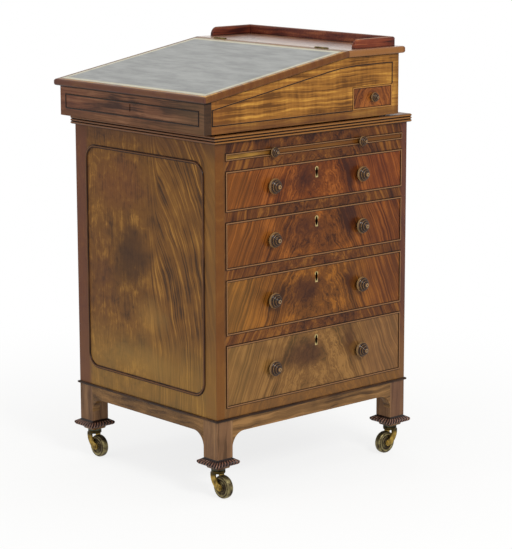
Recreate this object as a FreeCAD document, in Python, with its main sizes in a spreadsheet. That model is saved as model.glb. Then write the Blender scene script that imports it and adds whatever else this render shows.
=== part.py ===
import FreeCAD
import Part
import Sketcher
import math
import os
import re

# Regency davenport: a four-drawer cabinet on casters under a sliding writing box.
# Front (the writer's side) faces -Y, the drawers open towards +X, +Z is up and z = 0 is the floor.
# Sketches are drawn about the cabinet's centre line; every sub-part is then moved by origin_y,
# so that the model's origin is the middle of the footprint. Lengths are in millimetres.

SIZES = {
    # carcase
    "cab_width": 434, "cab_depth": 514, "front_stock": 20, "back_stock": 14, "frame_stock": 20,
    "front_stile": 24.5, "rear_stile": 14, "rail_height": 20, "runner_width": 22,
    "base_stock": 5, "base_proud": 4, "base_round": 2.4,
    "top_stock": 16.5, "top_proud": 7, "reed_depth": 2.4,
    "panel_side": 35.5, "panel_foot": 40.5, "panel_head": 39.5, "panel_corner": 28,
    "panel_bead_width": 6.5, "panel_bead_proud": 3, "panel_bead_round": 2.7,
    # plinth, legs and collars
    "leg_size": 40, "leg_height": 75, "apron_height": 26, "apron_stock": 18,
    "bracket_run": 29, "bracket_drop": 31,
    "collar_height": 14, "collar_reach": 11, "collar_lip": 2.2,
    "lobe_rise": 1.3, "neck_lobe_rise": 0.4, "toe_lobe_rise": 1.2,
    "foot_pad_size": 36, "foot_pad_height": 8, "foot_pad_taper": 2.5,
    # casters
    "wheel_size": 46, "wheel_width": 17, "wheel_trail": 15, "wheel_hub": 7, "wheel_dish": 2.5,
    "wheel_rim": 7, "wheel_bevel": 3, "rim_step": 0.5, "axle_radius": 2.5, "axle_fit": 0.05,
    "arm_stock": 3, "arm_eye": 7, "arm_root_rear": 9.5, "arm_root_front": 5,
    "arm_back_x": -7, "arm_back_z": 33, "arm_fore_x": 6, "arm_fore_z": 37,
    "crown_radius": 14, "crown_stock": 5.7, "crown_clear": 2, "crown_ease": 1.5, "stem_radius": 3,
    "stem_head_radius": 4.6, "stem_head_stock": 1.8, "stem_head_clear": 1,
    "plate_stock": 4, "plate_radius": 14, "plate_ease": 1,
    "rivet_radius": 4.2, "rivet_stock": 0.9, "side_clear": 0.5,
    # drawers and slides
    "drawer_1": 78, "drawer_2": 92, "drawer_3": 108, "drawer_4": 123, "slide_height": 14,
    "drawer_fit": 0.5, "slide_fit": 0.4, "run_clear": 0.3, "drawer_front_stock": 18,
    "drawer_side_stock": 10, "drawer_bottom_stock": 6, "bottom_lift": 6, "side_drop": 8,
    "drawer_far_gap": 28, "bead_width": 3, "bead_proud": 2, "slide_bead_width": 2.2,
    "slide_length": 190, "slide_lip": 12,
    # knobs and locks
    "knob_pitch": 237.5, "knob_radius": 15.4, "knob_proud": 24, "slide_knob_radius": 10,
    "slide_knob_proud": 19, "slide_stalk": 2.5, "slide_stalk_radius": 4,
    "pen_knob_radius": 9.5, "pen_knob_proud": 17,
    "key_drop": 12, "key_height": 22, "key_width": 9, "key_slot": 3, "key_depth": 4, "key_proud": 0.3,
    "lock_width": 44, "lock_height": 34, "lock_stock": 8, "lock_drop": 6, "lid_lock_drop": 2,
    # writing box
    "box_depth": 512, "slid_out": 31.5, "box_gap": 3.5, "box_front_height": 60,
    "box_rear_height": 122, "lid_run": 364.5, "wall_front": 16, "wall_side": 14, "wall_back": 12,
    "box_bottom_stock": 12, "guide_pitch": 300, "guide_width": 22, "guide_inset": 20,
    "guide_flare": 2, "groove_depth": 7, "lid_stock": 14, "lid_overhang": 9, "lid_nose": 4.5,
    "lid_joint": 0.5, "lid_rest": 0.3, "leather_margin": 11, "leather_stock": 1,
    "gallery_height": 19, "gallery_housing": 2, "gallery_stock": 8, "gallery_inset": 6, "gallery_setback": 28,
    "gallery_sweep": 13, "gallery_lean": 1, "line_width": 3, "line_proud": 1.2, "line_inset": 18,
    "line_foot": 16, "line_head": 17, "front_line_head": 16.5, "line_ease": 50,
    "front_key_drop": 20, "front_key_height": 14,
    # hinges
    "hinge_pitch": 308, "hinge_length": 36, "hinge_leaf": 1.5, "hinge_drop": 11,
    "knuckle_radius": 2.6, "pin_radius": 1.2, "pin_fit": 0.05, "knuckle_gap": 0.3,
    # pen drawer
    "pen_width": 110.5, "pen_height": 46, "pen_lift": 16, "pen_rear": 18.5, "pen_length": 180,
    "pen_front_stock": 12, "pen_side_stock": 6, "divider_stock": 7, "pen_stop_gap": 4,
    # how far a section reaches into what carries it, and a cut past a face
    "weld": 1,
}
REED_COUNT = 3
LOBES_PER_SIDE = 8

# A knob's turning: shares of its reach from its seat, each with a share of its radius.
KNOB_SHARES = ((0, 0.6), (0.14, 0.52), (0.3, 0.96), (0.38, 1), (0.64, 1), (0.76, 0.8), (0.9, 0.55), (1, 0.3))

# A keyhole's slot leaves its round head at these shares of the head's radius, across and down,
# and widens to the last share at its toe.
KEY_NECK_ACROSS = 0.6
KEY_NECK_DOWN = 0.8
KEY_TOE = 0.75

# The middle of a quarter arc stays this share of the radius inside each side of its corner.
QUARTER_ARC = 1 - math.sqrt(0.5)

# Levels and places that follow from the sizes, as expressions in their names.
PLACES = {
    "half_width": "cab_width / 2",
    "half_depth": "cab_depth / 2",
    "box_width": "cab_width + 2 * top_proud",
    "half_box": "box_width / 2",
    "crown_foot": "wheel_size + crown_clear",
    "plate_foot": "crown_foot + crown_stock + run_clear",
    "pad_foot": "plate_foot + plate_stock",
    "collar_foot": "pad_foot + foot_pad_height",
    "leg_foot": "collar_foot + collar_height",
    "leg_top": "leg_foot + leg_height",
    "leg_x": "half_width - leg_size / 2",
    "leg_y": "half_depth - leg_size / 2",
    "carcase_foot": "leg_top + base_stock",
    "floor_4": "carcase_foot + rail_height",
    "floor_3": "floor_4 + drawer_4 + rail_height",
    "floor_2": "floor_3 + drawer_3 + rail_height",
    "floor_1": "floor_2 + drawer_2 + rail_height",
    "floor_slide": "floor_1 + drawer_1 + rail_height",
    "carcase_top": "floor_slide + slide_height + rail_height",
    "carcase_height": "carcase_top - carcase_foot",
    "board_top": "carcase_top + top_stock",
    "bay_front": "front_stile - half_depth",
    "bay_rear": "half_depth - rear_stile",
    "bay_width": "bay_rear - bay_front",
    "bay_centre": "(bay_front + bay_rear) / 2",
    "box_foot": "board_top + box_gap",
    "box_front": "0 - slid_out - box_depth / 2",
    "box_rear": "box_depth / 2 - slid_out",
    "box_back_face": "box_rear - wall_back",
    "box_floor": "box_foot + box_bottom_stock",
    "hinge_y": "box_front + lid_run",
    "slope": "(box_rear_height - box_front_height) / lid_run",
    "wall_top": "box_foot + box_rear_height",
    "shelf_top": "wall_top + lid_stock",
    "pen_front": "box_rear - pen_rear - pen_width",
    "pen_back": "box_rear - pen_rear",
    "pen_foot": "box_foot + pen_lift",
    "pen_top": "pen_foot + pen_height",
    "line_level": "box_foot + line_foot",
    "line_top": "wall_top - line_head",
    "line_front": "box_front + line_inset",
    "origin_y": "(box_depth / 2 + slid_out + lid_overhang - half_depth - collar_reach) / 2",
}

# Lengths under this count as nothing when edges are picked out.
TINY = 0.01

WORD = re.compile(r"[a-z_][a-z_0-9]*")

doc = FreeCAD.newDocument("davenport")
sheet = doc.addObject("Spreadsheet::Sheet", "sizes")
for row, (alias, number) in enumerate(SIZES.items(), start=1):
    sheet.set(f"A{row}", alias.replace("_", " "))
    sheet.set(f"B{row}", str(number))
    sheet.setAlias(f"B{row}", alias)
doc.recompute()


def expand(text):
    """Write an expression out in cells of the sheet."""
    def cell(match):
        word = match.group()
        if word in PLACES:
            return f"({expand(PLACES[word])})"
        return f"sizes.{word}" if word in SIZES else word
    return WORD.sub(cell, str(text))


def value(text):
    """The number that an expression gives now."""
    return float(sheet.evalExpression(expand(text)))


def bind(item, prop, text):
    item.setExpression(prop, expand(text))


# ---- sketches ----------------------------------------------------------------------------------

def origin_plane(body, role):
    return next(item for item in body.Origin.OriginFeatures if item.Role == role)


def sketch(body, name, role, offset="0", lift="0"):
    """A sketch on one of the body's own planes, moved along that plane's normal and up in its own v."""
    item = body.newObject("Sketcher::SketchObject", name)
    item.AttachmentSupport = (origin_plane(body, role), "")
    item.MapMode = "FlatFace"
    bind(item, ".AttachmentOffset.Base.z", offset)
    bind(item, ".AttachmentOffset.Base.y", lift)
    return item


def fix_point(item, index, end, place):
    """Tie a sketch point to its two coordinates."""
    for kind, text in zip(("DistanceX", "DistanceY"), place):
        number = item.addConstraint(Sketcher.Constraint(kind, index, end, value(text)))
        bind(item, f"Constraints[{number}]", text)


def split_outline(points):
    """The corners, and for each the middle of the arc that leaves it, or None for a line."""
    corners = []
    middles = []
    for point in points:
        if point[0] == "arc":
            middles[-1] = point[1:]
        else:
            corners.append(point)
            middles.append(None)
    return corners, middles


def outline(item, points, closed=True):
    """Draw lines and arcs. A point ("arc", u, v) is a place that the arc to the next point passes."""
    corners, middles = split_outline(points)
    count = len(corners) if closed else len(corners) - 1
    ends = [draw_edge(item, corners[edge], middles[edge], corners[(edge + 1) % len(corners)])
            for edge in range(count)]
    for edge in range(count if closed else count - 1):
        this_edge, _, this_end = ends[edge]
        next_edge, next_start, _ = ends[(edge + 1) % count]
        item.addConstraint(Sketcher.Constraint("Coincident", this_edge, this_end, next_edge, next_start))
    for (index, start, _), corner in zip(ends, corners):
        fix_point(item, index, start, corner)
    if not closed:
        index, _, end = ends[-1]
        fix_point(item, index, end, corners[-1])


def draw_edge(item, first, middle, last):
    """One line, or an arc through a middle point. Gives its index and the names of its two ends."""
    a = FreeCAD.Vector(value(first[0]), value(first[1]), 0)
    b = FreeCAD.Vector(value(last[0]), value(last[1]), 0)
    if middle is None:
        return item.addGeometry(Part.LineSegment(a, b), False), 1, 2
    m = FreeCAD.Vector(value(middle[0]), value(middle[1]), 0)
    index = item.addGeometry(Part.Arc(a, m, b), False)
    guide = item.addGeometry(Part.Point(m), True)
    fix_point(item, guide, 1, middle)
    item.addConstraint(Sketcher.Constraint("PointOnObject", guide, 1, index))
    clockwise = (m - a).cross(b - m).z < 0
    return (index, 2, 1) if clockwise else (index, 1, 2)


def rectangle(u0, v0, u1, v1):
    return [(u0, v0), (u1, v0), (u1, v1), (u0, v1)]


def circle(radius):
    return [(radius, "0"), ("arc", "0", radius), (f"0 - ({radius})", "0"), ("arc", "0", f"0 - ({radius})")]


def centred(half_u, half_v):
    return rectangle(f"0 - ({half_u})", f"0 - ({half_v})", half_u, half_v)


# ---- features ----------------------------------------------------------------------------------

def new_body(name):
    return doc.addObject("PartDesign::Body", name)


def pad(body, name, role, points, length, offset="0", hole=None):
    drawing = sketch(body, f"{name}_sketch", role, offset)
    outline(drawing, points)
    if hole:
        outline(drawing, hole)
    feature = body.newObject("PartDesign::Pad", name)
    feature.Profile = drawing
    bind(feature, "Length", length)
    doc.recompute()
    return feature


def pocket(body, name, role, points, depth, offset="0", reverse=False):
    """Cut an outline away. The volume is compared, because a pocket in the open air shows no error."""
    before = body.Shape.Volume
    drawing = sketch(body, f"{name}_sketch", role, offset)
    outline(drawing, points)
    feature = body.newObject("PartDesign::Pocket", name)
    feature.Profile = drawing
    feature.Reversed = reverse
    bind(feature, "Length", depth)
    doc.recompute()
    if body.Shape.Volume >= before:
        raise RuntimeError(f"{name} cuts nothing")
    return feature


def turn(body, name, points, role="XZ_Plane", axis="H_Axis", offset="0", lift="0"):
    """Revolve an outline about its sketch's own horizontal or vertical axis."""
    drawing = sketch(body, f"{name}_sketch", role, offset, lift)
    outline(drawing, points)
    feature = body.newObject("PartDesign::Revolution", name)
    feature.Profile = drawing
    feature.ReferenceAxis = (drawing, [axis])
    feature.Angle = 360
    doc.recompute()
    return feature


def run_moulding(body, name, path, profile, closed=True):
    """Sweep a profile along a path, mitred at its corners. Each is (role, offset, points)."""
    spine = sketch(body, f"{name}_path", path[0], path[1])
    outline(spine, path[2], closed)
    section = sketch(body, f"{name}_profile", profile[0], profile[1])
    outline(section, profile[2])
    doc.recompute()
    feature = body.newObject("PartDesign::AdditivePipe", name)
    feature.Profile = section
    feature.Spine = (spine, [f"Edge{number + 1}" for number in range(len(spine.Shape.Edges))])
    feature.Transition = "Right corner"
    doc.recompute()
    return feature


def round_edges(body, name, feature, chosen, radius):
    """Fillet the edges for which chosen(edge) is true."""
    edges = [f"Edge{number}" for number, edge in enumerate(feature.Shape.Edges, start=1) if chosen(edge)]
    item = body.newObject("PartDesign::Fillet", name)
    item.Base = (feature, edges)
    bind(item, "Radius", radius)
    doc.recompute()
    return item


def board(name, x, y, z, dx, dy, dz):
    """A squared board from its low corner and its three sizes."""
    item = doc.addObject("Part::Box", name)
    for prop, text in zip(("Length", "Width", "Height"), (dx, dy, dz)):
        bind(item, prop, text)
    for axis, text in zip("xyz", (x, y, z)):
        bind(item, f".Placement.Base.{axis}", text)
    return item


def copy_at(name, source, x, y, z, turned=0):
    """A linked copy of a piece, turned about the vertical and set at a place."""
    item = doc.addObject("App::Link", name)
    item.LinkedObject = source
    item.Placement.Rotation = FreeCAD.Rotation(FreeCAD.Vector(0, 0, 1), turned)
    for axis, text in zip("xyz", (x, y, z)):
        bind(item, f".Placement.Base.{axis}", text)
    return item


def mirrored(name, pieces):
    """The same pieces on the other side of the cabinet."""
    group = doc.addObject("Part::Compound", f"{name}_source")
    group.Links = pieces
    item = doc.addObject("Part::Mirroring", name)
    item.Source = group
    item.Normal = FreeCAD.Vector(1, 0, 0)
    return item


SUB_PARTS = []


def sub_part(label, pieces):
    """One named sub-part from its separate solids, moved into the model's frame."""
    item = doc.addObject("Part::Compound", f"{label}_part")
    item.Label = label
    item.Links = pieces
    bind(item, ".Placement.Base.y", "origin_y")
    SUB_PARTS.append(item)
    return item


# ---- carcase -----------------------------------------------------------------------------------

def carcase():
    sub_part("front_panel_board", [board(
        "front_board", "0 - half_width", "0 - half_depth", "carcase_foot",
        "cab_width", "front_stock", "carcase_height")])
    sub_part("back_panel", [board(
        "back_board", "frame_stock - half_width", "half_depth - back_stock", "carcase_foot",
        "cab_width - 2 * frame_stock", "back_stock", "carcase_height")])
    sub_part("base_board", [base_board()])
    sub_part("reeded_top", [reeded_top()])
    sub_part("front_panel_bead", [front_panel_bead()])
    frame = side_frame()
    sub_part("drawer_side_frame", frame)
    sub_part("false_side_frame", [mirrored("false_frame", frame)])
    sub_part("drawer_runners", runners())


def base_board():
    """The carcase bottom, whose rounded edge is the bead above the plinth."""
    body = new_body("base_board_body")
    slab = pad(body, "base_slab", "XY_Plane", centred("half_width + base_proud", "half_depth + base_proud"),
               "base_stock", "leg_top")
    round_edges(body, "base_bead", slab, is_level, "base_round")
    return body


def is_level(edge):
    return edge.BoundBox.ZLength < TINY


def reeded_top():
    """The cabinet top: a slab with reeds run round its edge and mitred at the corners."""
    body = new_body("reeded_top_body")
    x = "half_width + top_proud - reed_depth"
    y = "half_depth + top_proud - reed_depth"
    pad(body, "top_slab", "XY_Plane", centred(x, y), "top_stock", "carcase_top")
    reed = f"top_stock / {REED_COUNT}"
    for number in range(REED_COUNT):
        foot = f"carcase_top + {number} * {reed}"
        face = f"0 - ({y})"
        profile = [(f"{face} + weld", foot), (face, foot),
                   ("arc", f"{face} - reed_depth", f"{foot} + {reed} / 2"),
                   (face, f"{foot} + {reed}"), (f"{face} + weld", f"{foot} + {reed}")]
        run_moulding(body, f"reed_{number + 1}",
                     ("XY_Plane", foot, centred(x, y)),
                     ("YZ_Plane", "0", profile))
    return body


def rounded_panel(inset):
    """The outline of the front panel, with rounded corners, drawn in by an inset."""
    x = f"half_width - panel_side - ({inset})"
    foot = f"carcase_foot + panel_foot + {inset}"
    head = f"carcase_top - panel_head - ({inset})"
    r = f"(panel_corner - ({inset}))"
    s = f"{r} * {QUARTER_ARC:.6f}"
    return [(f"{r} - ({x})", foot), (f"{x} - {r}", foot),
            ("arc", f"{x} - {s}", f"{foot} + {s}"),
            (x, f"{foot} + {r}"), (x, f"{head} - {r}"),
            ("arc", f"{x} - {s}", f"{head} - {s}"),
            (f"{x} - {r}", head), (f"{r} - ({x})", head),
            ("arc", f"{s} - ({x})", f"{head} - {s}"),
            (f"0 - ({x})", f"{head} - {r}"), (f"0 - ({x})", f"{foot} + {r}"),
            ("arc", f"{s} - ({x})", f"{foot} + {s}")]


def front_panel_bead():
    """A rounded bead that frames the front panel."""
    body = new_body("front_panel_bead_body")
    half = "panel_bead_width / 2"
    strip = pad(body, "panel_bead", "XZ_Plane", rounded_panel(f"0 - {half}"), "panel_bead_proud",
                "half_depth", hole=rounded_panel(half))
    face = value("0 - half_depth - panel_bead_proud")
    round_edges(body, "panel_bead_round", strip,
                lambda edge: edge.BoundBox.YMax < face + TINY, "panel_bead_round")
    return body


FLOORS = ("floor_4", "floor_3", "floor_2", "floor_1", "floor_slide")


def rail_levels():
    """The underside of each rail, from the bottom rail up."""
    return [f"{floor} - rail_height" for floor in FLOORS] + ["carcase_top - rail_height"]


def side_frame():
    """Two stiles and six rails around the drawer openings."""
    x = "half_width - frame_stock"
    pieces = [
        board("front_stile_post", x, "front_stock - half_depth", "carcase_foot",
              "frame_stock", "front_stile - front_stock", "carcase_height"),
        board("rear_stile_post", x, "bay_rear", "carcase_foot",
              "frame_stock", "rear_stile", "carcase_height")]
    for number, level in enumerate(rail_levels(), start=1):
        pieces.append(board(f"rail_{number}", x, "bay_front", level,
                            "frame_stock", "bay_width", "rail_height"))
    return pieces


def runners():
    """Bearers level with the rails, front and rear, that carry the drawers and slides."""
    start = "frame_stock - half_width"
    length = "cab_width - 2 * frame_stock"
    pieces = []
    for number, level in enumerate(rail_levels(), start=1):
        pieces.append(board(f"front_runner_{number}", start, "front_stock - half_depth", level,
                            length, "runner_width + front_stile - front_stock", "rail_height"))
        pieces.append(board(f"rear_runner_{number}", start, "half_depth - back_stock - runner_width",
                            level, length, "runner_width", "rail_height"))
    return pieces


# ---- plinth, legs and collars ------------------------------------------------------------------

def plinth():
    legs = [board(f"leg_{number}", f"{x} * leg_x - leg_size / 2", f"{y} * leg_y - leg_size / 2", "leg_foot",
                  "leg_size", "leg_size", "leg_height") for number, (x, y) in enumerate(CORNERS, start=1)]
    sub_part("legs", legs)
    front = apron("front_apron", "XZ_Plane", "half_width", "half_depth - apron_stock")
    side = apron("side_apron", "YZ_Plane", "half_depth", "half_width - apron_stock")
    sub_part("plinth_aprons", [front, copy_at("rear_apron", front, "0", "0", "0", turned=180),
                               side, copy_at("left_apron", side, "0", "0", "0", turned=180)])
    collar = gadrooned_collar()
    sub_part("foot_collars", [copy_at(f"collar_{number}", collar, f"{x} * leg_x", f"{y} * leg_y", "leg_foot")
                              for number, (x, y) in enumerate(CORNERS, start=1)])


CORNERS = ((-1, -1), (1, -1), (1, 1), (-1, 1))


def apron(name, role, half, offset):
    """A board between two legs, cut to a bracket curve at each end."""
    body = new_body(name)
    end = f"{half} - leg_size"
    head = "leg_top"
    foot = "leg_top - apron_height"
    tip = f"{foot} - bracket_drop"
    near = f"{end} - bracket_run"
    across = f"{end} - bracket_run * {QUARTER_ARC:.6f}"
    down = f"{foot} - bracket_drop * {QUARTER_ARC:.6f}"
    pad(body, f"{name}_pad", role,
        [(f"0 - ({end})", head), (f"0 - ({end})", tip), ("arc", f"0 - ({across})", down),
         (f"0 - ({near})", foot), (near, foot), ("arc", across, down), (end, tip), (end, head)],
        "apron_stock", offset)
    return body


def lobed_square(half, rise, level):
    """A square wire whose four sides are each a row of outward arcs."""
    edges = []
    for quarter in range(4):
        spin = FreeCAD.Rotation(FreeCAD.Vector(0, 0, 1), 90 * quarter)
        for lobe in range(LOBES_PER_SIDE):
            u0 = half * (2 * lobe / LOBES_PER_SIDE - 1)
            u1 = half * (2 * (lobe + 1) / LOBES_PER_SIDE - 1)
            start = spin.multVec(FreeCAD.Vector(u0, -half, level))
            crest = spin.multVec(FreeCAD.Vector((u0 + u1) / 2, -half - rise, level))
            end = spin.multVec(FreeCAD.Vector(u1, -half, level))
            edges.append(Part.Arc(start, crest, end).toShape())
    return Part.Wire(edges)


def plain_square(half, level):
    corners = [FreeCAD.Vector(half * x, half * y, level) for x, y in CORNERS]
    return Part.makePolygon(corners + corners[:1])


def gadrooned_collar():
    """A flared square collar carved into lobes, on a tapered foot pad. Its top is at z = 0.

    The lobed wires aren't something that a sketch with a pattern draws, so the loft is made directly.
    """
    height = value("collar_height")
    top = value("leg_size / 2")
    reach = top + value("collar_reach")
    rise = value("lobe_rise")
    lip = value("collar_lip")
    rim = reach - rise
    neck_rise = value("neck_lobe_rise")
    sections = [lobed_square(top - neck_rise, neck_rise, 0),
                lobed_square(rim, rise, -height + 2 * lip),
                lobed_square(rim - lip, value("toe_lobe_rise"), -height)]
    flare = Part.makeLoft(sections, True, True)
    pad_half = value("foot_pad_size / 2")
    pad_height = value("foot_pad_height")
    foot = Part.makeLoft([plain_square(pad_half, -height),
                          plain_square(pad_half - value("foot_pad_taper"), -height - pad_height)], True, True)
    recess_height = value("stem_head_stock") + 2 * value("run_clear")
    recess = Part.makeCylinder(value("stem_head_radius + stem_head_clear"), recess_height,
                               FreeCAD.Vector(0, 0, -height - pad_height))
    item = doc.addObject("Part::Feature", "gadrooned_collar")
    item.Shape = flare.fuse(foot).cut(recess)
    return item


# ---- casters -----------------------------------------------------------------------------------

def casters():
    plate = caster_plate()
    sub_part("caster_plates", [copy_at(f"plate_{number}", plate, f"{x} * leg_x", f"{y} * leg_y", "plate_foot")
                               for number, (x, y) in enumerate(CORNERS, start=1)])
    fork = caster_fork()
    wheel = caster_wheel()
    for number, ((x, y), trail) in enumerate(zip(CORNERS, TRAILS), start=1):
        place = (f"{x} * leg_x", f"{y} * leg_y")
        sub_part(f"caster_fork_{number}", [copy_at(f"fork_{number}", fork, *place, "0", trail)])
        sub_part(f"caster_wheel_{number}", [copy_at(f"wheel_{number}", wheel, *place, "0", trail)])


# The way each caster trails, in degrees about the vertical from +X, in the order of CORNERS.
TRAILS = (0, 0, -90, -90)


def caster_plate():
    body = new_body("caster_plate_body")
    bore = "stem_radius + axle_fit"
    turn(body, "plate_turning",
         [(bore, "0"), ("plate_radius - plate_ease", "0"), ("plate_radius", "plate_ease"),
          ("plate_radius", "plate_stock"), (bore, "plate_stock")], axis="V_Axis")
    return body


def caster_fork():
    """The swivelling horn: crown, riveted stem, two curved arms and the axle. It trails along +X."""
    body = new_body("caster_fork_body")
    half = "wheel_width / 2 + side_clear"
    level = "wheel_size / 2"
    root = "crown_foot + crown_stock / 2"
    pad(body, "arms", "XZ_Plane",
        [("0 - arm_root_rear", root), ("arc", "arm_back_x", "arm_back_z"),
         ("wheel_trail", f"{level} - arm_eye"), ("arc", "wheel_trail + arm_eye", level),
         ("wheel_trail", f"{level} + arm_eye"), ("arc", "arm_fore_x", "arm_fore_z"),
         ("arm_root_front", root)],
        "wheel_width + 2 * side_clear + 2 * arm_stock", f"0 - ({half}) - arm_stock")
    turn(body, "crown",
         [("0", "crown_foot"), ("crown_radius - crown_ease", "crown_foot"),
          ("crown_radius", "crown_foot + crown_ease"),
          ("crown_radius", "crown_foot + crown_stock"), ("stem_radius", "crown_foot + crown_stock"),
          ("stem_radius", "pad_foot + run_clear"), ("stem_head_radius", "pad_foot + run_clear"),
          ("stem_head_radius", "pad_foot + run_clear + stem_head_stock"),
          ("0", "pad_foot + run_clear + stem_head_stock")], axis="V_Axis")
    pocket(body, "wheel_slot", "XZ_Plane",
           rectangle("0 - crown_radius - weld", "0", "wheel_trail + arm_eye + weld", "crown_foot"),
           f"2 * ({half})", f"0 - ({half})", reverse=True)
    rivet = f"{half} + arm_stock + rivet_stock"
    turn(body, "axle",
         [(f"0 - ({rivet})", "0"), (f"0 - ({rivet})", "rivet_radius"),
          (f"0 - ({half}) - arm_stock", "rivet_radius"), (f"0 - ({half}) - arm_stock", "axle_radius"),
          (f"{half} + arm_stock", "axle_radius"), (f"{half} + arm_stock", "rivet_radius"),
          (rivet, "rivet_radius"), (rivet, "0")], "YZ_Plane", offset="wheel_trail", lift="wheel_size / 2")
    return body


def caster_wheel():
    """A solid brass wheel with dished sides, on the axle at the end of the trail."""
    body = new_body("caster_wheel_body")
    bore = "axle_radius + axle_fit"
    half = "wheel_width / 2"
    radius = "wheel_size / 2"
    rim = f"{half} - rim_step"
    side = [(half, bore), (half, "wheel_hub"), (f"{half} - wheel_dish", f"{radius} - wheel_rim"),
            (rim, f"{radius} - wheel_rim + wheel_dish"), (rim, f"{radius} - wheel_bevel"),
            (f"{rim} - wheel_bevel", radius)]
    other = [(f"0 - ({u})", v) for u, v in reversed(side)]
    turn(body, "wheel_turning", side + other, "YZ_Plane", offset="wheel_trail", lift="wheel_size / 2")
    return body


# ---- turned knobs ------------------------------------------------------------------------------

def knob(name, radius, proud, stalk="0", stalk_radius="0"):
    """A turned wooden knob along +X, with its base on the plane x = 0 or on a narrower stalk."""
    body = new_body(name)

    turning = [(f"{stalk} + ({proud} - {stalk}) * {reach}", f"{radius} * {share}")
               for reach, share in KNOB_SHARES]
    base = [("0", "0")] if stalk == "0" else [("0", "0"), ("0", stalk_radius), (stalk, stalk_radius)]
    turn(body, f"{name}_turning", base + turning + [(proud, "0")])
    return body


def pair_of_knobs(name, knob_body, level):
    return [copy_at(f"{name}_{side}", knob_body, "half_width", f"bay_centre {sign} knob_pitch / 2", level)
            for side, sign in (("front", "-"), ("rear", "+"))]


# ---- drawers and slides ------------------------------------------------------------------------

def beaded_front(name, face, stock, low_y, high_y, low_z, high_z, bead, proud):
    """A drawer front that faces +X, and the cockbead round its edge."""
    front = new_body(f"{name}_board")
    inside = rectangle(f"{low_y} + {bead}", f"{low_z} + {bead}", f"{high_y} - {bead}", f"{high_z} - {bead}")
    pad(front, f"{name}_pad", "YZ_Plane", inside, stock, f"{face} - {stock}")
    ring = new_body(f"{name}_bead")
    foot = low_z
    inner = f"{face} - {stock}"
    round_start = f"{face} + {proud} - {bead} / 2"
    profile = [(inner, foot), (round_start, foot), ("arc", f"{face} + {proud}", f"{foot} + {bead} / 2"),
               (round_start, f"{foot} + {bead}"), (inner, f"{foot} + {bead}")]
    middle = f"({low_y} + {high_y}) / 2"
    run_moulding(ring, f"{name}_cockbead", ("YZ_Plane", face, rectangle(low_y, low_z, high_y, high_z)),
                 ("XZ_Plane", f"0 - ({middle})", profile))
    return front, ring


def key_outline(centre, top, width, height):
    """A keyhole: a round head over a tapered slot."""
    r = f"{width} / 2"
    head = f"{top} - {r}"
    toe = f"{top} - {height}"
    across = f"{r} * {KEY_NECK_ACROSS}"
    neck = f"{head} - {r} * {KEY_NECK_DOWN}"
    return [(f"{centre} - {across}", neck), ("arc", centre, top), (f"{centre} + {across}", neck),
            (f"{centre} + {r} * {KEY_TOE}", toe), (f"{centre} - {r} * {KEY_TOE}", toe)]


def cut_for_lock(front, name, centre, top):
    """The mortise for a lock, the seat of its keyhole lining and the way for the key."""
    key_top = f"{top} - key_drop"
    lock_top = f"{top} - lock_drop"
    back = "half_width - drawer_front_stock"
    pocket(front, f"{name}_mortise", "YZ_Plane",
           rectangle(f"{centre} - lock_width / 2", f"{lock_top} - lock_height",
                     f"{centre} + lock_width / 2", lock_top), "lock_stock", back, reverse=True)
    pocket(front, f"{name}_lining_seat", "YZ_Plane",
           key_outline(centre, key_top, "key_width", "key_height"), "key_depth", "half_width")
    pocket(front, f"{name}_key_way", "YZ_Plane", key_slot(centre, key_top),
           "drawer_front_stock", "half_width")


def key_slot(centre, key_top):
    """The slot inside the lining."""
    rim = "(key_width - key_slot) / 2"
    return rectangle(f"{centre} - key_slot / 2", f"{key_top} - key_height + {rim}",
                     f"{centre} + key_slot / 2", f"{key_top} - {rim}")


def lock(name, centre, top):
    """The brass keyhole lining and the lock case behind the drawer front."""
    key_top = f"{top} - key_drop"
    lining = new_body(f"{name}_lining")
    pad(lining, f"{name}_lining_pad", "YZ_Plane",
        key_outline(centre, key_top, "key_width", "key_height"),
        "key_depth + key_proud", "half_width - key_depth")
    pocket(lining, f"{name}_slot", "YZ_Plane", key_slot(centre, key_top),
           "key_depth + key_proud", "half_width + key_proud")
    case = board(f"{name}_case", "half_width - drawer_front_stock", f"{centre} - lock_width / 2",
                 f"{top} - lock_drop - lock_height", "lock_stock", "lock_width", "lock_height")
    return [lining, case]


def drawer_box(name, low, top):
    """Two sides, a back and a bottom behind a drawer front."""
    tail = "drawer_far_gap - half_width"
    length = "cab_width - drawer_front_stock - drawer_far_gap"
    left = "bay_front + drawer_fit"
    right = "bay_rear - drawer_fit - drawer_side_stock"
    height = f"{top} - side_drop - ({low})"
    inner = "bay_width - 2 * drawer_fit - 2 * drawer_side_stock"
    return [
        board(f"{name}_side_1", tail, left, low, length, "drawer_side_stock", height),
        board(f"{name}_side_2", tail, right, low, length, "drawer_side_stock", height),
        board(f"{name}_back", tail, f"{left} + drawer_side_stock",
              f"{low} + bottom_lift + drawer_bottom_stock", "drawer_side_stock", inner,
              f"{height} - bottom_lift - drawer_bottom_stock"),
        board(f"{name}_bottom", tail, f"{left} + drawer_side_stock", f"{low} + bottom_lift",
              length, inner, "drawer_bottom_stock")]


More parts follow.
